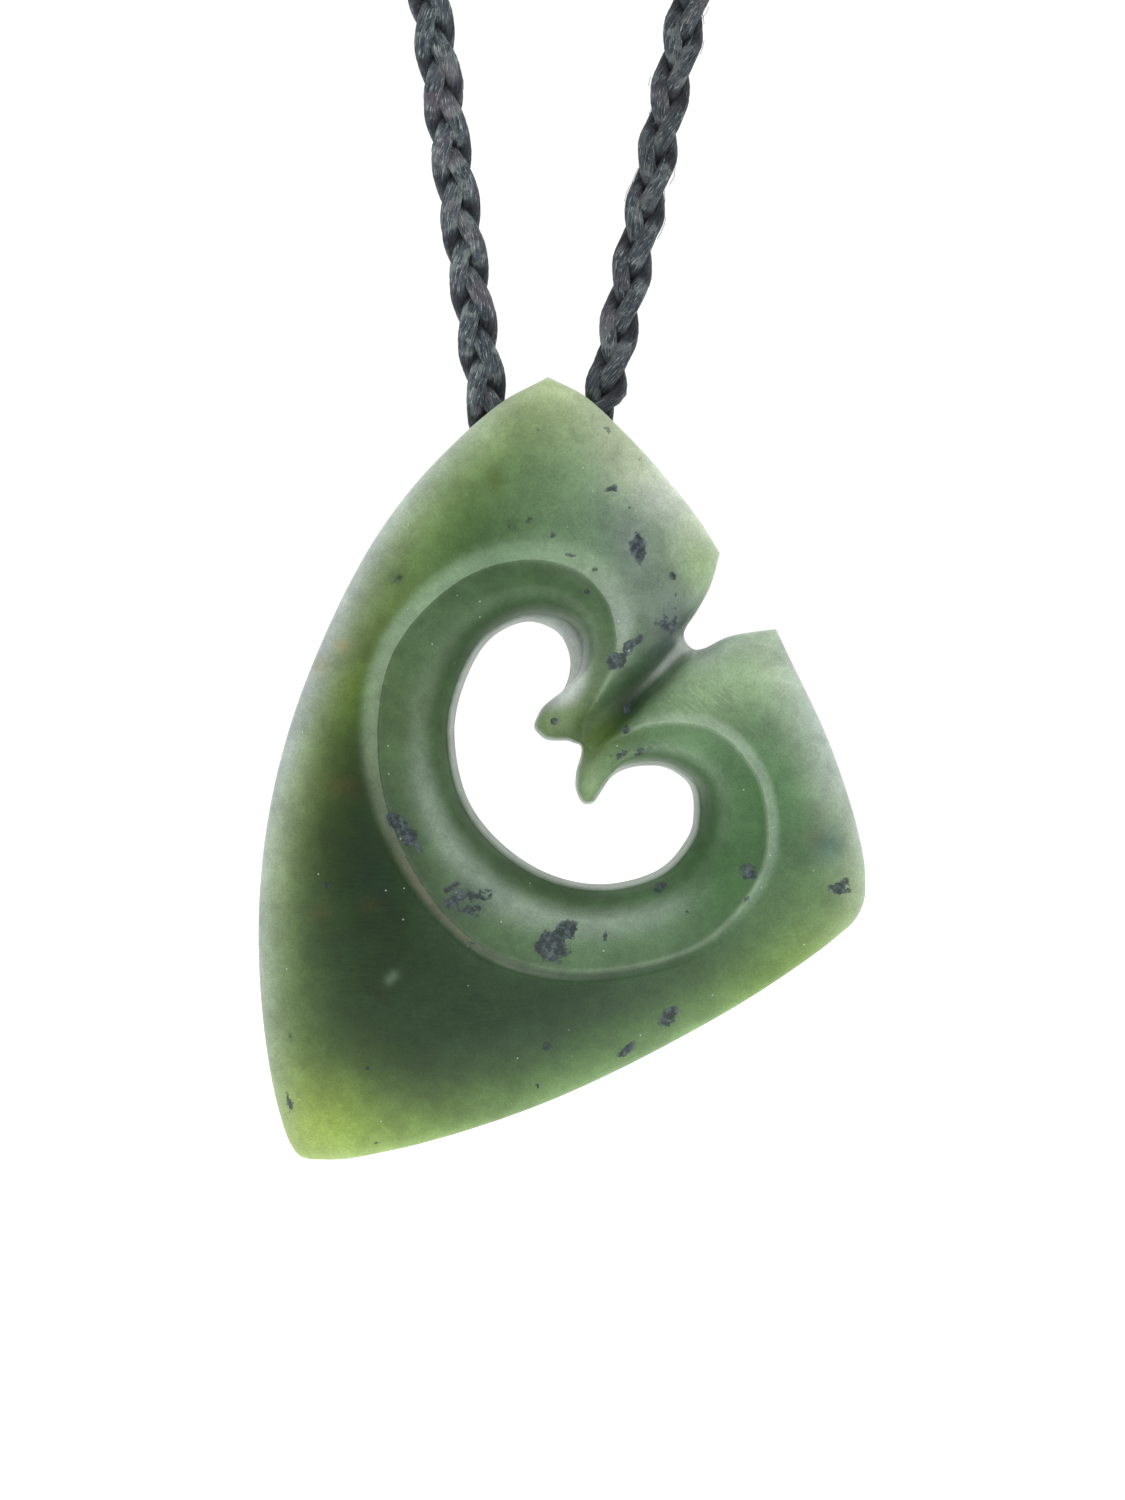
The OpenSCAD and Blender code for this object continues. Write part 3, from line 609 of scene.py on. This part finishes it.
def tint_stone(mesh):
    """Writes the tints with their painted light and shade, inclusions and tool marks to the stone's
    points.
    """
    co = np.empty(len(mesh.vertices) * 3, np.float32)
    mesh.vertices.foreach_get("co", co)
    co = co.reshape(-1, 3) / MM
    points = (co - top_point)[:, ::2]
    front = smooth_step((FRONT_FADE - co[:, 1]) / (2 * FRONT_FADE))
    d_hole, hole_section = nearest(points, hole_edge)
    tone = np.tile(linear(BODY), (len(points), 1))

    def lay(colour, amount):
        tone[:] += (linear(colour) - tone) * np.clip(amount, 0, 1)[:, None]

    for row in PATCHES:
        lay(row[6:], row[5] * soft_spot(points, *row[:5]))
    edge_tints(lay, points)
    rib_tints(lay, points, front, d_hole)
    for row in TOUCHES:
        lay(row[6:], row[5] * front * soft_spot(points, *row[:5]))
    lip_light(lay, front, d_hole, hole_section)
    stripe_highlight(lay, points, front)
    grey = tone.mean(1, keepdims=True)
    tone = grey + (tone - grey) * DEPTH_OF_COLOUR
    tone = np.clip((tone - LIGHT_HAZE) / LIGHT_GAIN, DARKEST, 1)
    dark = np.zeros(len(points))
    for *ellipse, strength in INCLUSIONS:
        near = np.clip(INCLUSION_REACH - spot(points, *ellipse), 0, 1)
        dark = np.maximum(dark, strength * near)
    put_attributes(mesh, {
        "tone": np.column_stack([tone, np.ones(len(tone))]),
        "dark": dark * front,
        "scratch": front * soft_spot(points, *SCRATCHED),
    })


class Nodes:
    """Short words for building nodes; a socket takes an output or a constant."""

    def __init__(self, tree):
        self.tree = tree

    def link(self, value, socket):
        if isinstance(value, bpy.types.NodeSocket):
            self.tree.links.new(value, socket)
        else:
            socket.default_value = value

    def add(self, kind, inputs=None, **settings):
        made = self.tree.nodes.new(kind)
        for key, value in settings.items():
            setattr(made, key, value)
        for socket, value in (inputs or {}).items():
            self.link(value, made.inputs[socket])
        return made

    def attribute(self, name, output="Fac"):
        return self.add("ShaderNodeAttribute", attribute_name=name).outputs[output]

    def place(self, stretch=(1, 1, 1)):
        """Places on the object in millimetres, stretched along each axis."""
        coordinate = self.add("ShaderNodeTexCoord").outputs["Object"]
        return self.vector("MULTIPLY", coordinate, tuple(number / MM for number in stretch))[0]

    def noise(self, vector, scale, detail, roughness, distortion=0.0):
        return self.add("ShaderNodeTexNoise", {
            "Vector": vector, "Scale": scale, "Detail": detail,
            "Roughness": roughness, "Distortion": distortion,
        }).outputs["Fac"]

    def math(self, operation, a, b):
        return self.add("ShaderNodeMath", {0: a, 1: b}, operation=operation).outputs[0]

    def vector(self, operation, a, b):
        return self.add("ShaderNodeVectorMath", {0: a, 1: b}, operation=operation).outputs

    def range(self, value, source, target=(0.0, 1.0), kind="SMOOTHSTEP"):
        """A value's source range turned into the target range."""
        return self.add("ShaderNodeMapRange", {
            "Value": value, "From Min": source[0], "From Max": source[1],
            "To Min": target[0], "To Max": target[1],
        }, interpolation_type=kind).outputs[0]

    def mix(self, factor, a, b):
        return self.add("ShaderNodeMix", {0: factor, 6: a, 7: b}, data_type="RGBA").outputs[2]

    def bump(self, height, strength, distance):
        inputs = {"Strength": strength, "Distance": distance, "Height": height}
        return self.add("ShaderNodeBump", inputs).outputs[0]


class Shader(Nodes):
    def __init__(self, name):
        self.material = bpy.data.materials.new(name)
        self.material.use_nodes = True
        super().__init__(self.material.node_tree)

    def surface(self, settings):
        """Fills the surface's sockets."""
        for socket, value in settings.items():
            self.link(value, self.tree.nodes["Principled BSDF"].inputs[socket])
        return self.material


def rgb(colour):
    return (*linear(colour), 1.0)


STAIN_DARK, STAIN_PALE = rgb((32, 41, 45)), rgb((84, 97, 103))
PINPRICK = rgb((214, 222, 206))
TOOL_MARK = rgb((176, 196, 168))
# Tool marks a millimetre: along their run, and across it
MARKS_ALONG, MARKS_ACROSS = 1.1, 5.0


def run_of_marks(s, place):
    """Coordinates that run with the tool marks."""
    x, z = heading(SCRATCH_RUN)
    along = s.vector("DOT_PRODUCT", place, (MARKS_ALONG * x, 0, MARKS_ALONG * z))["Value"]
    across = s.vector("DOT_PRODUCT", place, (-MARKS_ACROSS * z, 0, MARKS_ACROSS * x))["Value"]
    return s.add("ShaderNodeCombineXYZ", {0: along, 1: across}).outputs[0]


def stone_material():
    s = Shader("nephrite")
    place = s.place()
    cloud = s.noise(place, 0.22, 4, 0.6)
    fleck = s.noise(place, 0.8, 5, 0.65, distortion=0.6)
    grain = s.noise(place, 7.0, 3, 0.65)
    clouded = s.range(cloud, (0.3, 0.7), (0.86, 1.16))
    flecked = s.range(fleck, (0.3, 0.75), (1.08, 0.84))
    level = s.math("MULTIPLY", clouded, flecked)
    level = s.math("MULTIPLY", level, s.range(grain, (0.3, 0.7), (1.12, 0.88)))
    colour = s.vector("MULTIPLY", s.attribute("tone", "Color"), level)[0]
    # Dark inclusions with ragged edges and mottled middles
    ragged = s.range(s.noise(place, 1.5, 5, 0.62), (0.3, 0.7), (-0.45, 0.45), "LINEAR")
    reach = s.range(s.math("ADD", s.attribute("dark"), ragged), (0.5, 0.62))
    mottle = s.range(s.noise(place, 2.6, 4, 0.65), (0.4, 0.7))
    amount = s.math("MULTIPLY", reach, s.range(s.attribute("dark"), (0.1, 0.8), (0.4, 0.92)))
    colour = s.mix(amount, colour, s.mix(mottle, STAIN_DARK, STAIN_PALE))
    # Fine pale pinpricks, and tool marks in rows
    cells = s.add("ShaderNodeTexVoronoi", {"Vector": place, "Scale": 0.65}).outputs["Distance"]
    colour = s.mix(s.range(cells, (0.02, 0.05), (0.6, 0.0)), colour, PINPRICK)
    marks = s.range(s.noise(run_of_marks(s, place), 1.0, 2, 0.5), (0.52, 0.66), (0.0, 0.36))
    colour = s.mix(s.math("MULTIPLY", marks, s.attribute("scratch")), colour, TOOL_MARK)
    # Relief of the polish: grain, and scratches along the stone's length
    scratches = s.noise(s.place((0.9, 0.9, 4.2)), 1.2, 2, 0.5)
    height = s.math("ADD", s.math("MULTIPLY", grain, 0.5), scratches)
    return s.surface({
        "Base Color": colour,
        "Subsurface Weight": 0.4,
        "Subsurface Radius": (0.7, 1.0, 0.5),
        "Subsurface Scale": 0.0014,
        "IOR": 1.6,
        "Specular IOR Level": 0.25,
        "Roughness": s.range(s.noise(place, 0.5, 3, 0.6), (0.3, 0.7), (0.34, 0.44)),
        "Normal": s.bump(height, 0.25, 0.00004),
    })


# The cord's middle line, worked out as the part's source does, in millimetres
LOOP_LENGTH = 585.0
BRAID_REPEATS = 45
BINDING_D = 4.8
half_spread = (left_lean + right_lean) / 2


def cross(a, b):
    return a[0] * b[1] - a[1] * b[0]


def cord_stretches():
    """The top arc's radius and centre, and the route's stretches: length, outer direction at the
    start, radius or 0 when straight, and the arc's centre or the straight's first point."""
    sides = ((-1, left_lean), (1, right_lean))
    bends = [(side * BRIDGE_HALF, BEND_RADIUS) for side, lean in sides]
    ups = [heading(math.pi / 2 - side * lean) for side, lean in sides]
    lows = [bend + side * BEND_RADIUS * heading(-side * lean) for bend, (side, lean) in zip(bends, sides)]
    # The legs' lines meet under the bore, and the top arc is tangent to both
    backs = [-cross(lows[1] - lows[0], up) / cross(*ups) for up in ups[::-1]]
    bottom = 2 * BRIDGE_HALF + BEND_RADIUS * (math.pi - left_lean - right_lean)
    top_turn = math.pi + left_lean + right_lean
    radius = (LOOP_LENGTH - bottom + sum(backs)) / (2 / math.tan(half_spread) + top_turn)
    middle_up = heading(math.pi / 2 - right_lean + half_spread)
    centre = lows[0] - ups[0] * backs[0] + middle_up * radius / math.sin(half_spread)
    legs = [radius / math.tan(half_spread) - back for back in backs]
    left, down, right = math.pi + left_lean, 1.5 * math.pi, 2 * math.pi - right_lean
    return radius, centre, [
        (radius * (left - math.pi / 2), math.pi / 2, radius, centre),
        (legs[0], left, 0, centre + radius * heading(left)),
        (BEND_RADIUS * (down - left), left, BEND_RADIUS, bends[0]),
        (2 * BRIDGE_HALF, down, 0, (-BRIDGE_HALF, 0)),
        (BEND_RADIUS * (right - down), down, BEND_RADIUS, bends[1]),
        (legs[1], right, 0, lows[1]),
        (radius * (2.5 * math.pi - right), right, radius, centre),
    ]


top_radius, top_centre, STRETCHES = cord_stretches()
starts = np.cumsum([0] + [stretch[0] for stretch in STRETCHES])


def route(at):
    """Places and outer directions of the cord at distances round the loop."""
    place, turn = np.empty((len(at), 2)), np.empty(len(at))
    stretch = np.clip(np.searchsorted(starts, at, side="right") - 1, 0, len(STRETCHES) - 1)
    for k, (_, direction, radius, anchor) in enumerate(STRETCHES):
        here = stretch == k
        run = at[here] - starts[k]
        if radius:
            turn[here] = direction + run / radius
            place[here] = anchor + radius * heading(turn[here])
        else:
            turn[here] = direction
            place[here] = anchor + run[:, None] * heading(direction + math.pi / 2)
    return place, turn


# The flat braid turns on its length: distance round the loop, and degrees from flat in front
NAPE_ROLL, EDGE_ON, RIGHT_ROLL = 30, 90, 12
ROLL = [(0, NAPE_ROLL), (starts[1], 0), (starts[2] - 2, 0), (starts[2] + 2.2, EDGE_ON),
        (starts[5], EDGE_ON), (starts[5] + 5.5, RIGHT_ROLL), (starts[6] - 80, RIGHT_ROLL),
        (starts[6] - 5, EDGE_ON), (starts[6], EDGE_ON), (starts[7], NAPE_ROLL)]


def roll(at):
    out = NAPE_ROLL
    for (a, low), (b, high) in zip(ROLL, ROLL[1:]):
        out = out + (high - low) * smooth_step((at - a) / (b - a))
    return np.radians(out)


def braid_frame(at):
    """Directions across the braid: along its flat side, and through it."""
    out = upright(heading(route(at)[1]))
    w = roll(at)[:, None]
    return out * np.cos(w) + FRONT * np.sin(w), FRONT * np.cos(w) - out * np.sin(w)


def braid_middle(at):
    return bore + upright(route(at)[0])


# How much tighter the braid is on the top arc and on the right leg, and over how far
TOP_TIGHTER, TOP_OVER = 0.1, 6
RIGHT_TIGHTER, RIGHT_OVER = 0.04, 5


def snug(at):
    """The braid's width, as a share of its width on the left leg."""
    on_top = smooth_step(np.maximum(starts[1] - at, at - starts[6]) / TOP_OVER)
    on_right = smooth_step((at - starts[5]) / RIGHT_OVER)
    return 1 - TOP_TIGHTER * on_top - RIGHT_TIGHTER * on_right * (1 - on_top)


# A strand's swing to each side, and its rise to the front and the back
SWING, RISE = 0.87, 0.62
pitch = LOOP_LENGTH / BRAID_REPEATS


def strand_path(at, phase):
    """Middle line of one strand."""
    t = 2 * np.pi * at / pitch + math.radians(phase)
    flat, deep = braid_frame(at)
    crossing = np.sin(2 * t)
    swing = SWING * snug(at) * np.sin(t)
    rise = RISE * snug(at) * crossing * (1.5 - 0.5 * crossing**2)
    return braid_middle(at) + flat * swing[:, None] + deep * rise[:, None]


# A strand: half-width and half-thickness, yarns and points on each, distance between its rings,
# gap at the loop's closing, half the reach that gives its direction, and length of a yarn's twist
STRAND_FLAT, STRAND_DEEP = 0.71, 0.57
YARNS = 12
YARN_POINTS = 5
AROUND = YARNS * YARN_POINTS
RING_STEP = 0.5
END_GAP = 0.15
LOOK_AHEAD = 0.2
YARN_TWIST = 15.0
# Uneven yarns: narrowest and widest, shallowest and deepest groove, and depth of a full groove
YARN_WIDTHS = (0.6, 1.4)
GROOVES = (0.5, 1.2)
GROOVE_DEPTH = 0.11
# Slow and quick swells of the yarns: rings a wave and spread, middle and limits; the same for the
# strand's thickness; and how far the twist runs ahead of even, over what length
SLOW_SWELL, QUICK_SWELL = (7, 0.04), (3, 0.03)
SWELL_MIDDLE, SWELL_LIMITS = 0.96, (0.82, 1.0)
THICK_STEP, THICK_SPREAD, THICK_LIMITS = 9, 0.03, (0.9, 1.0)
TWIST_AHEAD, AHEAD_OVER = 0.03, 3.7
# Painted shade: how much darker the right leg is painted, and over how far it turns
RIGHT_LEG_SHADE, DARKER_OVER = 0.36, 6
# Stray fibres: number on each leg, where, radius, rings, sides and paleness
STRAYS = 90
STRAY_LEGS = [(starts[1] + 5, starts[2] - 16), (starts[5] + 12, starts[6] - 5)]
STRAY_R = 0.024
STRAY_RINGS, STRAY_SIDES = 9, 3
STRAY_PALENESS = 1.6
# What the cord's material reads at each point
CORD_LAYERS = ("along", "yarn", "light_and_paleness", "groove", "proud")


def cord_looks(*columns):
    """Values of the cord's layers at each point, from columns, rows or single numbers."""
    return np.stack(np.broadcast_arrays(*columns), -1).reshape(-1, len(CORD_LAYERS))


def rings(path, side, up, wide, deep, angle):
    """Points on an oval ring round each point of a path."""
    return (path[:, None] + (wide * np.cos(angle))[..., None] * side[:, None]
            + (deep * np.sin(angle))[..., None] * up[:, None])


def yarn_ring():
    """Angles of a strand's points, and how deep each lies in a groove between yarns."""
    widths = dice.uniform(*YARN_WIDTHS, YARNS)
    bounds = np.cumsum([0, *widths]) * 2 * np.pi / widths.sum()
    share = np.arange(YARN_POINTS) / YARN_POINTS
    angle = (bounds[:-1, None] + np.diff(bounds)[:, None] * share).ravel()
    lobe = np.tile(np.sqrt(1 - 0.8 * (share * 2 - 1) ** 2), YARNS)
    return angle, (1 - lobe) * np.repeat(dice.uniform(*GROOVES, YARNS), YARN_POINTS)


def waves(count, step, spread):
    """Slow random swells along a strand, one series a yarn."""
    knots = np.arange(count // step + 3) * step
    series = dice.normal(0, spread, (len(knots), YARNS))
    bent = np.stack([np.interp(np.arange(count), knots, one) for one in series.T], 1)
    return np.repeat(bent, YARN_POINTS, axis=1)


def stray_fibre(leg, at, path, side, up):
    """A thin arc that leaves a strand and comes back: its points and looks."""
    run = dice.uniform(*leg) + np.linspace(0, dice.uniform(0.7, 2.2), STRAY_RINGS)
    bow = np.sin(np.linspace(0, np.pi, STRAY_RINGS))
    ring = np.searchsorted(at, run)
    angle = dice.uniform(0, 2 * np.pi) + np.linspace(0, dice.uniform(-0.8, 0.8), STRAY_RINGS)
    away = (1.03 + 0.3 * dice.uniform(0, 1) ** 3 * bow)[:, None]
    axes = side[ring], up[ring]
    arc = rings(path[ring], *axes, away * STRAND_FLAT, away * STRAND_DEEP, angle[:, None])[:, 0]
    turns = 2 * np.pi * np.arange(STRAY_SIDES) / STRAY_SIDES
    looks = cord_looks(np.repeat(run, STRAY_SIDES), dice.uniform(0, YARNS), STRAY_PALENESS, 0.0, 1.0)
    return rings(arc, *axes, STRAY_R, STRAY_R, turns).reshape(-1, 3), looks


def build_strand(name, phase):
    """A flat tube with a lobe for each twisted yarn, and stray fibres."""
    count = int(LOOP_LENGTH / RING_STEP)
    at = np.linspace(END_GAP, LOOP_LENGTH - END_GAP, count)
    path = strand_path(at, phase)
    ahead = unit(strand_path(at + LOOK_AHEAD, phase) - strand_path(at - LOOK_AHEAD, phase))
    flat, deep = braid_frame(at)
    side = unit(flat - ahead * (flat * ahead).sum(1, keepdims=True))
    up = np.cross(ahead, side)
    angle, groove = yarn_ring()
    swell = SWELL_MIDDLE + waves(count, *SLOW_SWELL) + waves(count, *QUICK_SWELL)
    swell = np.clip(swell, *SWELL_LIMITS)
    knots = at[::THICK_STEP]
    thick = 1 + np.interp(at, knots, dice.normal(0, THICK_SPREAD, len(knots)))
    thick = np.clip(thick, *THICK_LIMITS)
    reach = (swell - GROOVE_DEPTH * groove) * (thick * snug(at))[:, None]
    twist = 2 * np.pi * (at / YARN_TWIST + TWIST_AHEAD * np.sin(at / AHEAD_OVER))
    turned = angle + twist[:, None]
    bundle = rings(path, side, up, reach * STRAND_FLAT, reach * STRAND_DEEP, turned)
    proud = np.abs(((bundle - braid_middle(at)[:, None]) * deep[:, None]).sum(2))
    # Painted light and shade: the left leg lighter, the right leg darker
    light_and_paleness = 1 - RIGHT_LEG_SHADE * smooth_step((at - starts[2]) / DARKER_OVER)
    points = [bundle.reshape(-1, 3)]
    yarn = np.arange(AROUND) / YARN_POINTS
    looks = [cord_looks(at[:, None], yarn, light_and_paleness[:, None], groove, proud)]
    faces = tube(grid(count, AROUND))
    fibre_index = count * AROUND + grid(STRAY_RINGS, STRAY_SIDES)
    for k, leg in enumerate(STRAY_LEGS * STRAYS):
        fibre, its_looks = stray_fibre(leg, at, path, side, up)
        points.append(fibre)
        looks.append(its_looks)
        faces += tube(fibre_index + k * len(fibre))
    strand = mesh_object(name, np.vstack(points), faces)
    put_attributes(strand.data, dict(zip(CORD_LAYERS, np.vstack(looks).T)))
    return strand


THREAD_DARK, THREAD_PALE = rgb((38, 48, 57)), rgb((90, 103, 111))
# The pale patches are painted sheen and the flecks painted highlights; the bloom is the cord's own colour
WAX_SHEEN, BLOOM, FLECK_HIGHLIGHT = rgb((150, 163, 160)), rgb((108, 96, 110)), rgb((206, 216, 214))
# Painted shade in the grooves between yarns and where strands pass under one another
PIT, GROOVE_SHADE, INNER_SHADE = rgb((30, 38, 46)), rgb((26, 33, 40)), rgb((20, 28, 38))


def cord_material():
    s = Shader("waxed_cord")
    fibre = s.add("ShaderNodeCombineXYZ", {0: s.attribute("along"), 1: s.attribute("yarn")}).outputs[0]

    def fibres(along, across):
        return s.vector("MULTIPLY", fibre, (along, across, 1))[0]

    place = s.place()
    patch = s.noise(place, 0.8, 4, 0.62)
    streaks = s.range(s.noise(fibres(0.35, 0.7), 2.0, 4, 0.65), (0.36, 0.62))
    bloom = s.range(s.noise(place, 0.4, 3, 0.5), (0.5, 0.62), (0.0, 0.6))
    highlight_flecks = s.range(s.noise(fibres(0.8, 1.6), 2.2, 3, 0.6), (0.55, 0.66), (0.0, 0.8))
    pits = s.range(s.noise(fibres(0.7, 1.5), 2.7, 3, 0.6), (0.56, 0.68), (0.0, 0.5))
    depth = s.math("ADD", s.attribute("proud"), s.range(patch, (0.3, 0.7), (-0.15, 0.15), "LINEAR"))
    colour = s.mix(streaks, THREAD_DARK, THREAD_PALE)
    # Pale patches: painted sheen
    colour = s.mix(s.range(patch, (0.5, 0.64), (0.0, 0.8)), colour, WAX_SHEEN)
    colour = s.mix(bloom, colour, BLOOM)
    # Flecks: painted highlights
    colour = s.mix(highlight_flecks, colour, FLECK_HIGHLIGHT)
    colour = s.mix(pits, colour, PIT)
    # Painted shade in the grooves between yarns
    colour = s.mix(s.range(s.attribute("groove"), (0.2, 0.8), (0.0, 0.5)), colour, GROOVE_SHADE)
    colour = s.mix(s.range(depth, (0.1, 0.7), (0.84, 0.0)), colour, INNER_SHADE)
    # Painted light and shade: the left leg lighter and the right leg darker; stray fibres paler
    shade = s.range(s.attribute("light_and_paleness"), (0.0, 1.6), (0.2, 1.32), "LINEAR")
    return s.surface({
        "Base Color": s.vector("MULTIPLY", colour, shade)[0],
        "Roughness": 0.6,
        "Specular IOR Level": 0.3,
        "Sheen Weight": 0.1,
        "Sheen Roughness": 0.5,
        "Normal": s.bump(s.noise(fibres(1.6, 5.0), 1.6, 3, 0.7), 1.0, 0.00018),
    })


# The binding: length, thread's radius and sides, points a turn, turns and depth of the taper at
# each end, streaks a turn and across, and shade
BINDING_LENGTH = 14.0
THREAD_R = 0.24
THREAD_SIDES = 8
TURN_STEPS = 40
TAPER_TURNS, TAPER_DEPTH = 2, 0.32
STREAKS_A_TURN, STREAKS_ACROSS = 13, 1 / 3
THREAD_PALENESS = 0.4


def build_binding():
    """Thread wound over the cord's joined ends."""
    turns = int(BINDING_LENGTH / (2 * THREAD_R)) - 1
    t = np.arange(turns * TURN_STEPS + 1) / TURN_STEPS
    run = (t / turns - 0.5) * (BINDING_LENGTH - 2 * THREAD_R)
    taper = smooth_step(np.minimum(t, turns - t) / TAPER_TURNS)
    coil = BINDING_D / 2 - THREAD_R - TAPER_DEPTH * (1 - taper)
    radial = upright(heading(math.pi / 2 - run / top_radius))
    swing = coil[:, None] * heading(2 * np.pi * t)
    off = swing[:, :1] * radial + swing[:, 1:] * FRONT
    path = bore + upright(top_centre) + top_radius * radial + off
    ahead, out = unit(np.gradient(path, axis=0)), unit(off)
    angle = 2 * np.pi * np.arange(THREAD_SIDES) / THREAD_SIDES
    points = rings(path, out, np.cross(ahead, out), THREAD_R, THREAD_R, angle)
    binding = mesh_object("wound_binding", points, tube(grid(len(t), THREAD_SIDES)[:, ::-1]))
    streaks = np.arange(THREAD_SIDES) * STREAKS_ACROSS
    looks = cord_looks(t[:, None] * STREAKS_A_TURN, streaks, THREAD_PALENESS, 0.0, 1.0)
    put_attributes(binding.data, dict(zip(CORD_LAYERS, looks.T)))
    return binding


# Camera: the picture's height at the stone's face, and its middle, in millimetres
PICTURE_HEIGHT = 107.25
PICTURE_MIDDLE = np.array([-6.43, -2.0, -280.61])
LENS, SENSOR = 120, 36


def make_camera():
    lens = bpy.data.cameras.new("camera")
    lens.lens = LENS
    lens.sensor_width = SENSOR
    lens.clip_start = 0.01
    lens.clip_end = 20
    camera = new_object("camera", lens)
    reach = PICTURE_HEIGHT * LENS / SENSOR
    camera.location = (PICTURE_MIDDLE + reach * FRONT) * MM
    camera.rotation_euler = (math.pi / 2, 0, 0)
    bpy.context.scene.camera = camera


# The light tent, white behind the stone and bright above it: axis, the ends of its ramp, and the
# strengths there
TENT = [("Y", (-0.7, 0.3), (0.07, 1.05)), ("Z", (0.15, 1.0), (0.0, 0.6))]
# Soft lights: name, place and size in metres, and power
LIGHTS = [("key", (0.12, -0.35, 0.1), 0.25, 0.85), ("fill", (-0.4, -0.2, -0.2), 0.3, 0.25)]
# The floor: half its size, its distance under the stone, and its two whites
FLOOR_HALF = 3000
FLOOR_DROP = 50
FLOOR_WHITES = rgb((250, 250, 250)), rgb((254, 254, 254))
WHITE = (1, 1, 1, 1)


def soft_light(name, place, size, power):
    data = bpy.data.lights.new(name, "AREA")
    data.shape = "DISK"
    data.size = size
    data.energy = power
    light = new_object(name, data)
    light.location = place
    away = Vector(place - PICTURE_MIDDLE * MM)
    light.rotation_euler = away.to_track_quat("Z", "Y").to_euler()


def make_tent():
    world = bpy.data.worlds.new("studio")
    scene.world = world
    world.use_nodes = True
    tent = Nodes(world.node_tree)
    here = tent.add("ShaderNodeTexCoord").outputs["Generated"]
    direction = tent.add("ShaderNodeSeparateXYZ", {0: here}).outputs
    ramps = [tent.range(direction[axis], source, target) for axis, source, target in TENT]
    sky = world.node_tree.nodes["Background"].inputs
    sky["Color"].default_value = WHITE
    tent.link(tent.math("ADD", *ramps), sky["Strength"])


def make_floor():
    s = Shader("pale_floor")
    material = s.surface({
        "Base Color": s.mix(s.noise(s.place(), 0.006, 2, 0.55), *FLOOR_WHITES),
        "Roughness": 0.9,
        "Emission Color": WHITE,
        "Emission Strength": 0.3,
    })
    corners = [(x * FLOOR_HALF, y * FLOOR_HALF, stone_low[2] - FLOOR_DROP)
               for x, y in ((-1, -1), (1, -1), (1, 1), (-1, 1))]
    floor = mesh_object("floor", corners, [[0, 1, 2, 3]])
    floor.data.materials.append(material)


make_camera()
stone = build_stone()
tint_stone(stone.data)
stone.data.materials.append(stone_material())
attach(stone, "stone")
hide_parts("hook_stone")

cord_look = cord_material()
for node, phase in (("strand_one", 0), ("strand_two", 120), ("strand_three", 240)):
    strand = build_strand("yarns_of_" + node, phase)
    strand.data.materials.append(cord_look)
    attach(strand, "neck_cord")
    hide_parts(node + "_top", node + "_low")

binding = build_binding()
binding.data.materials.append(cord_look)
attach(binding, "neck_cord")
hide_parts("end_binding")

scene.view_settings.view_transform = "Standard"
make_tent()
for light in LIGHTS:
    soft_light(*light)
make_floor()
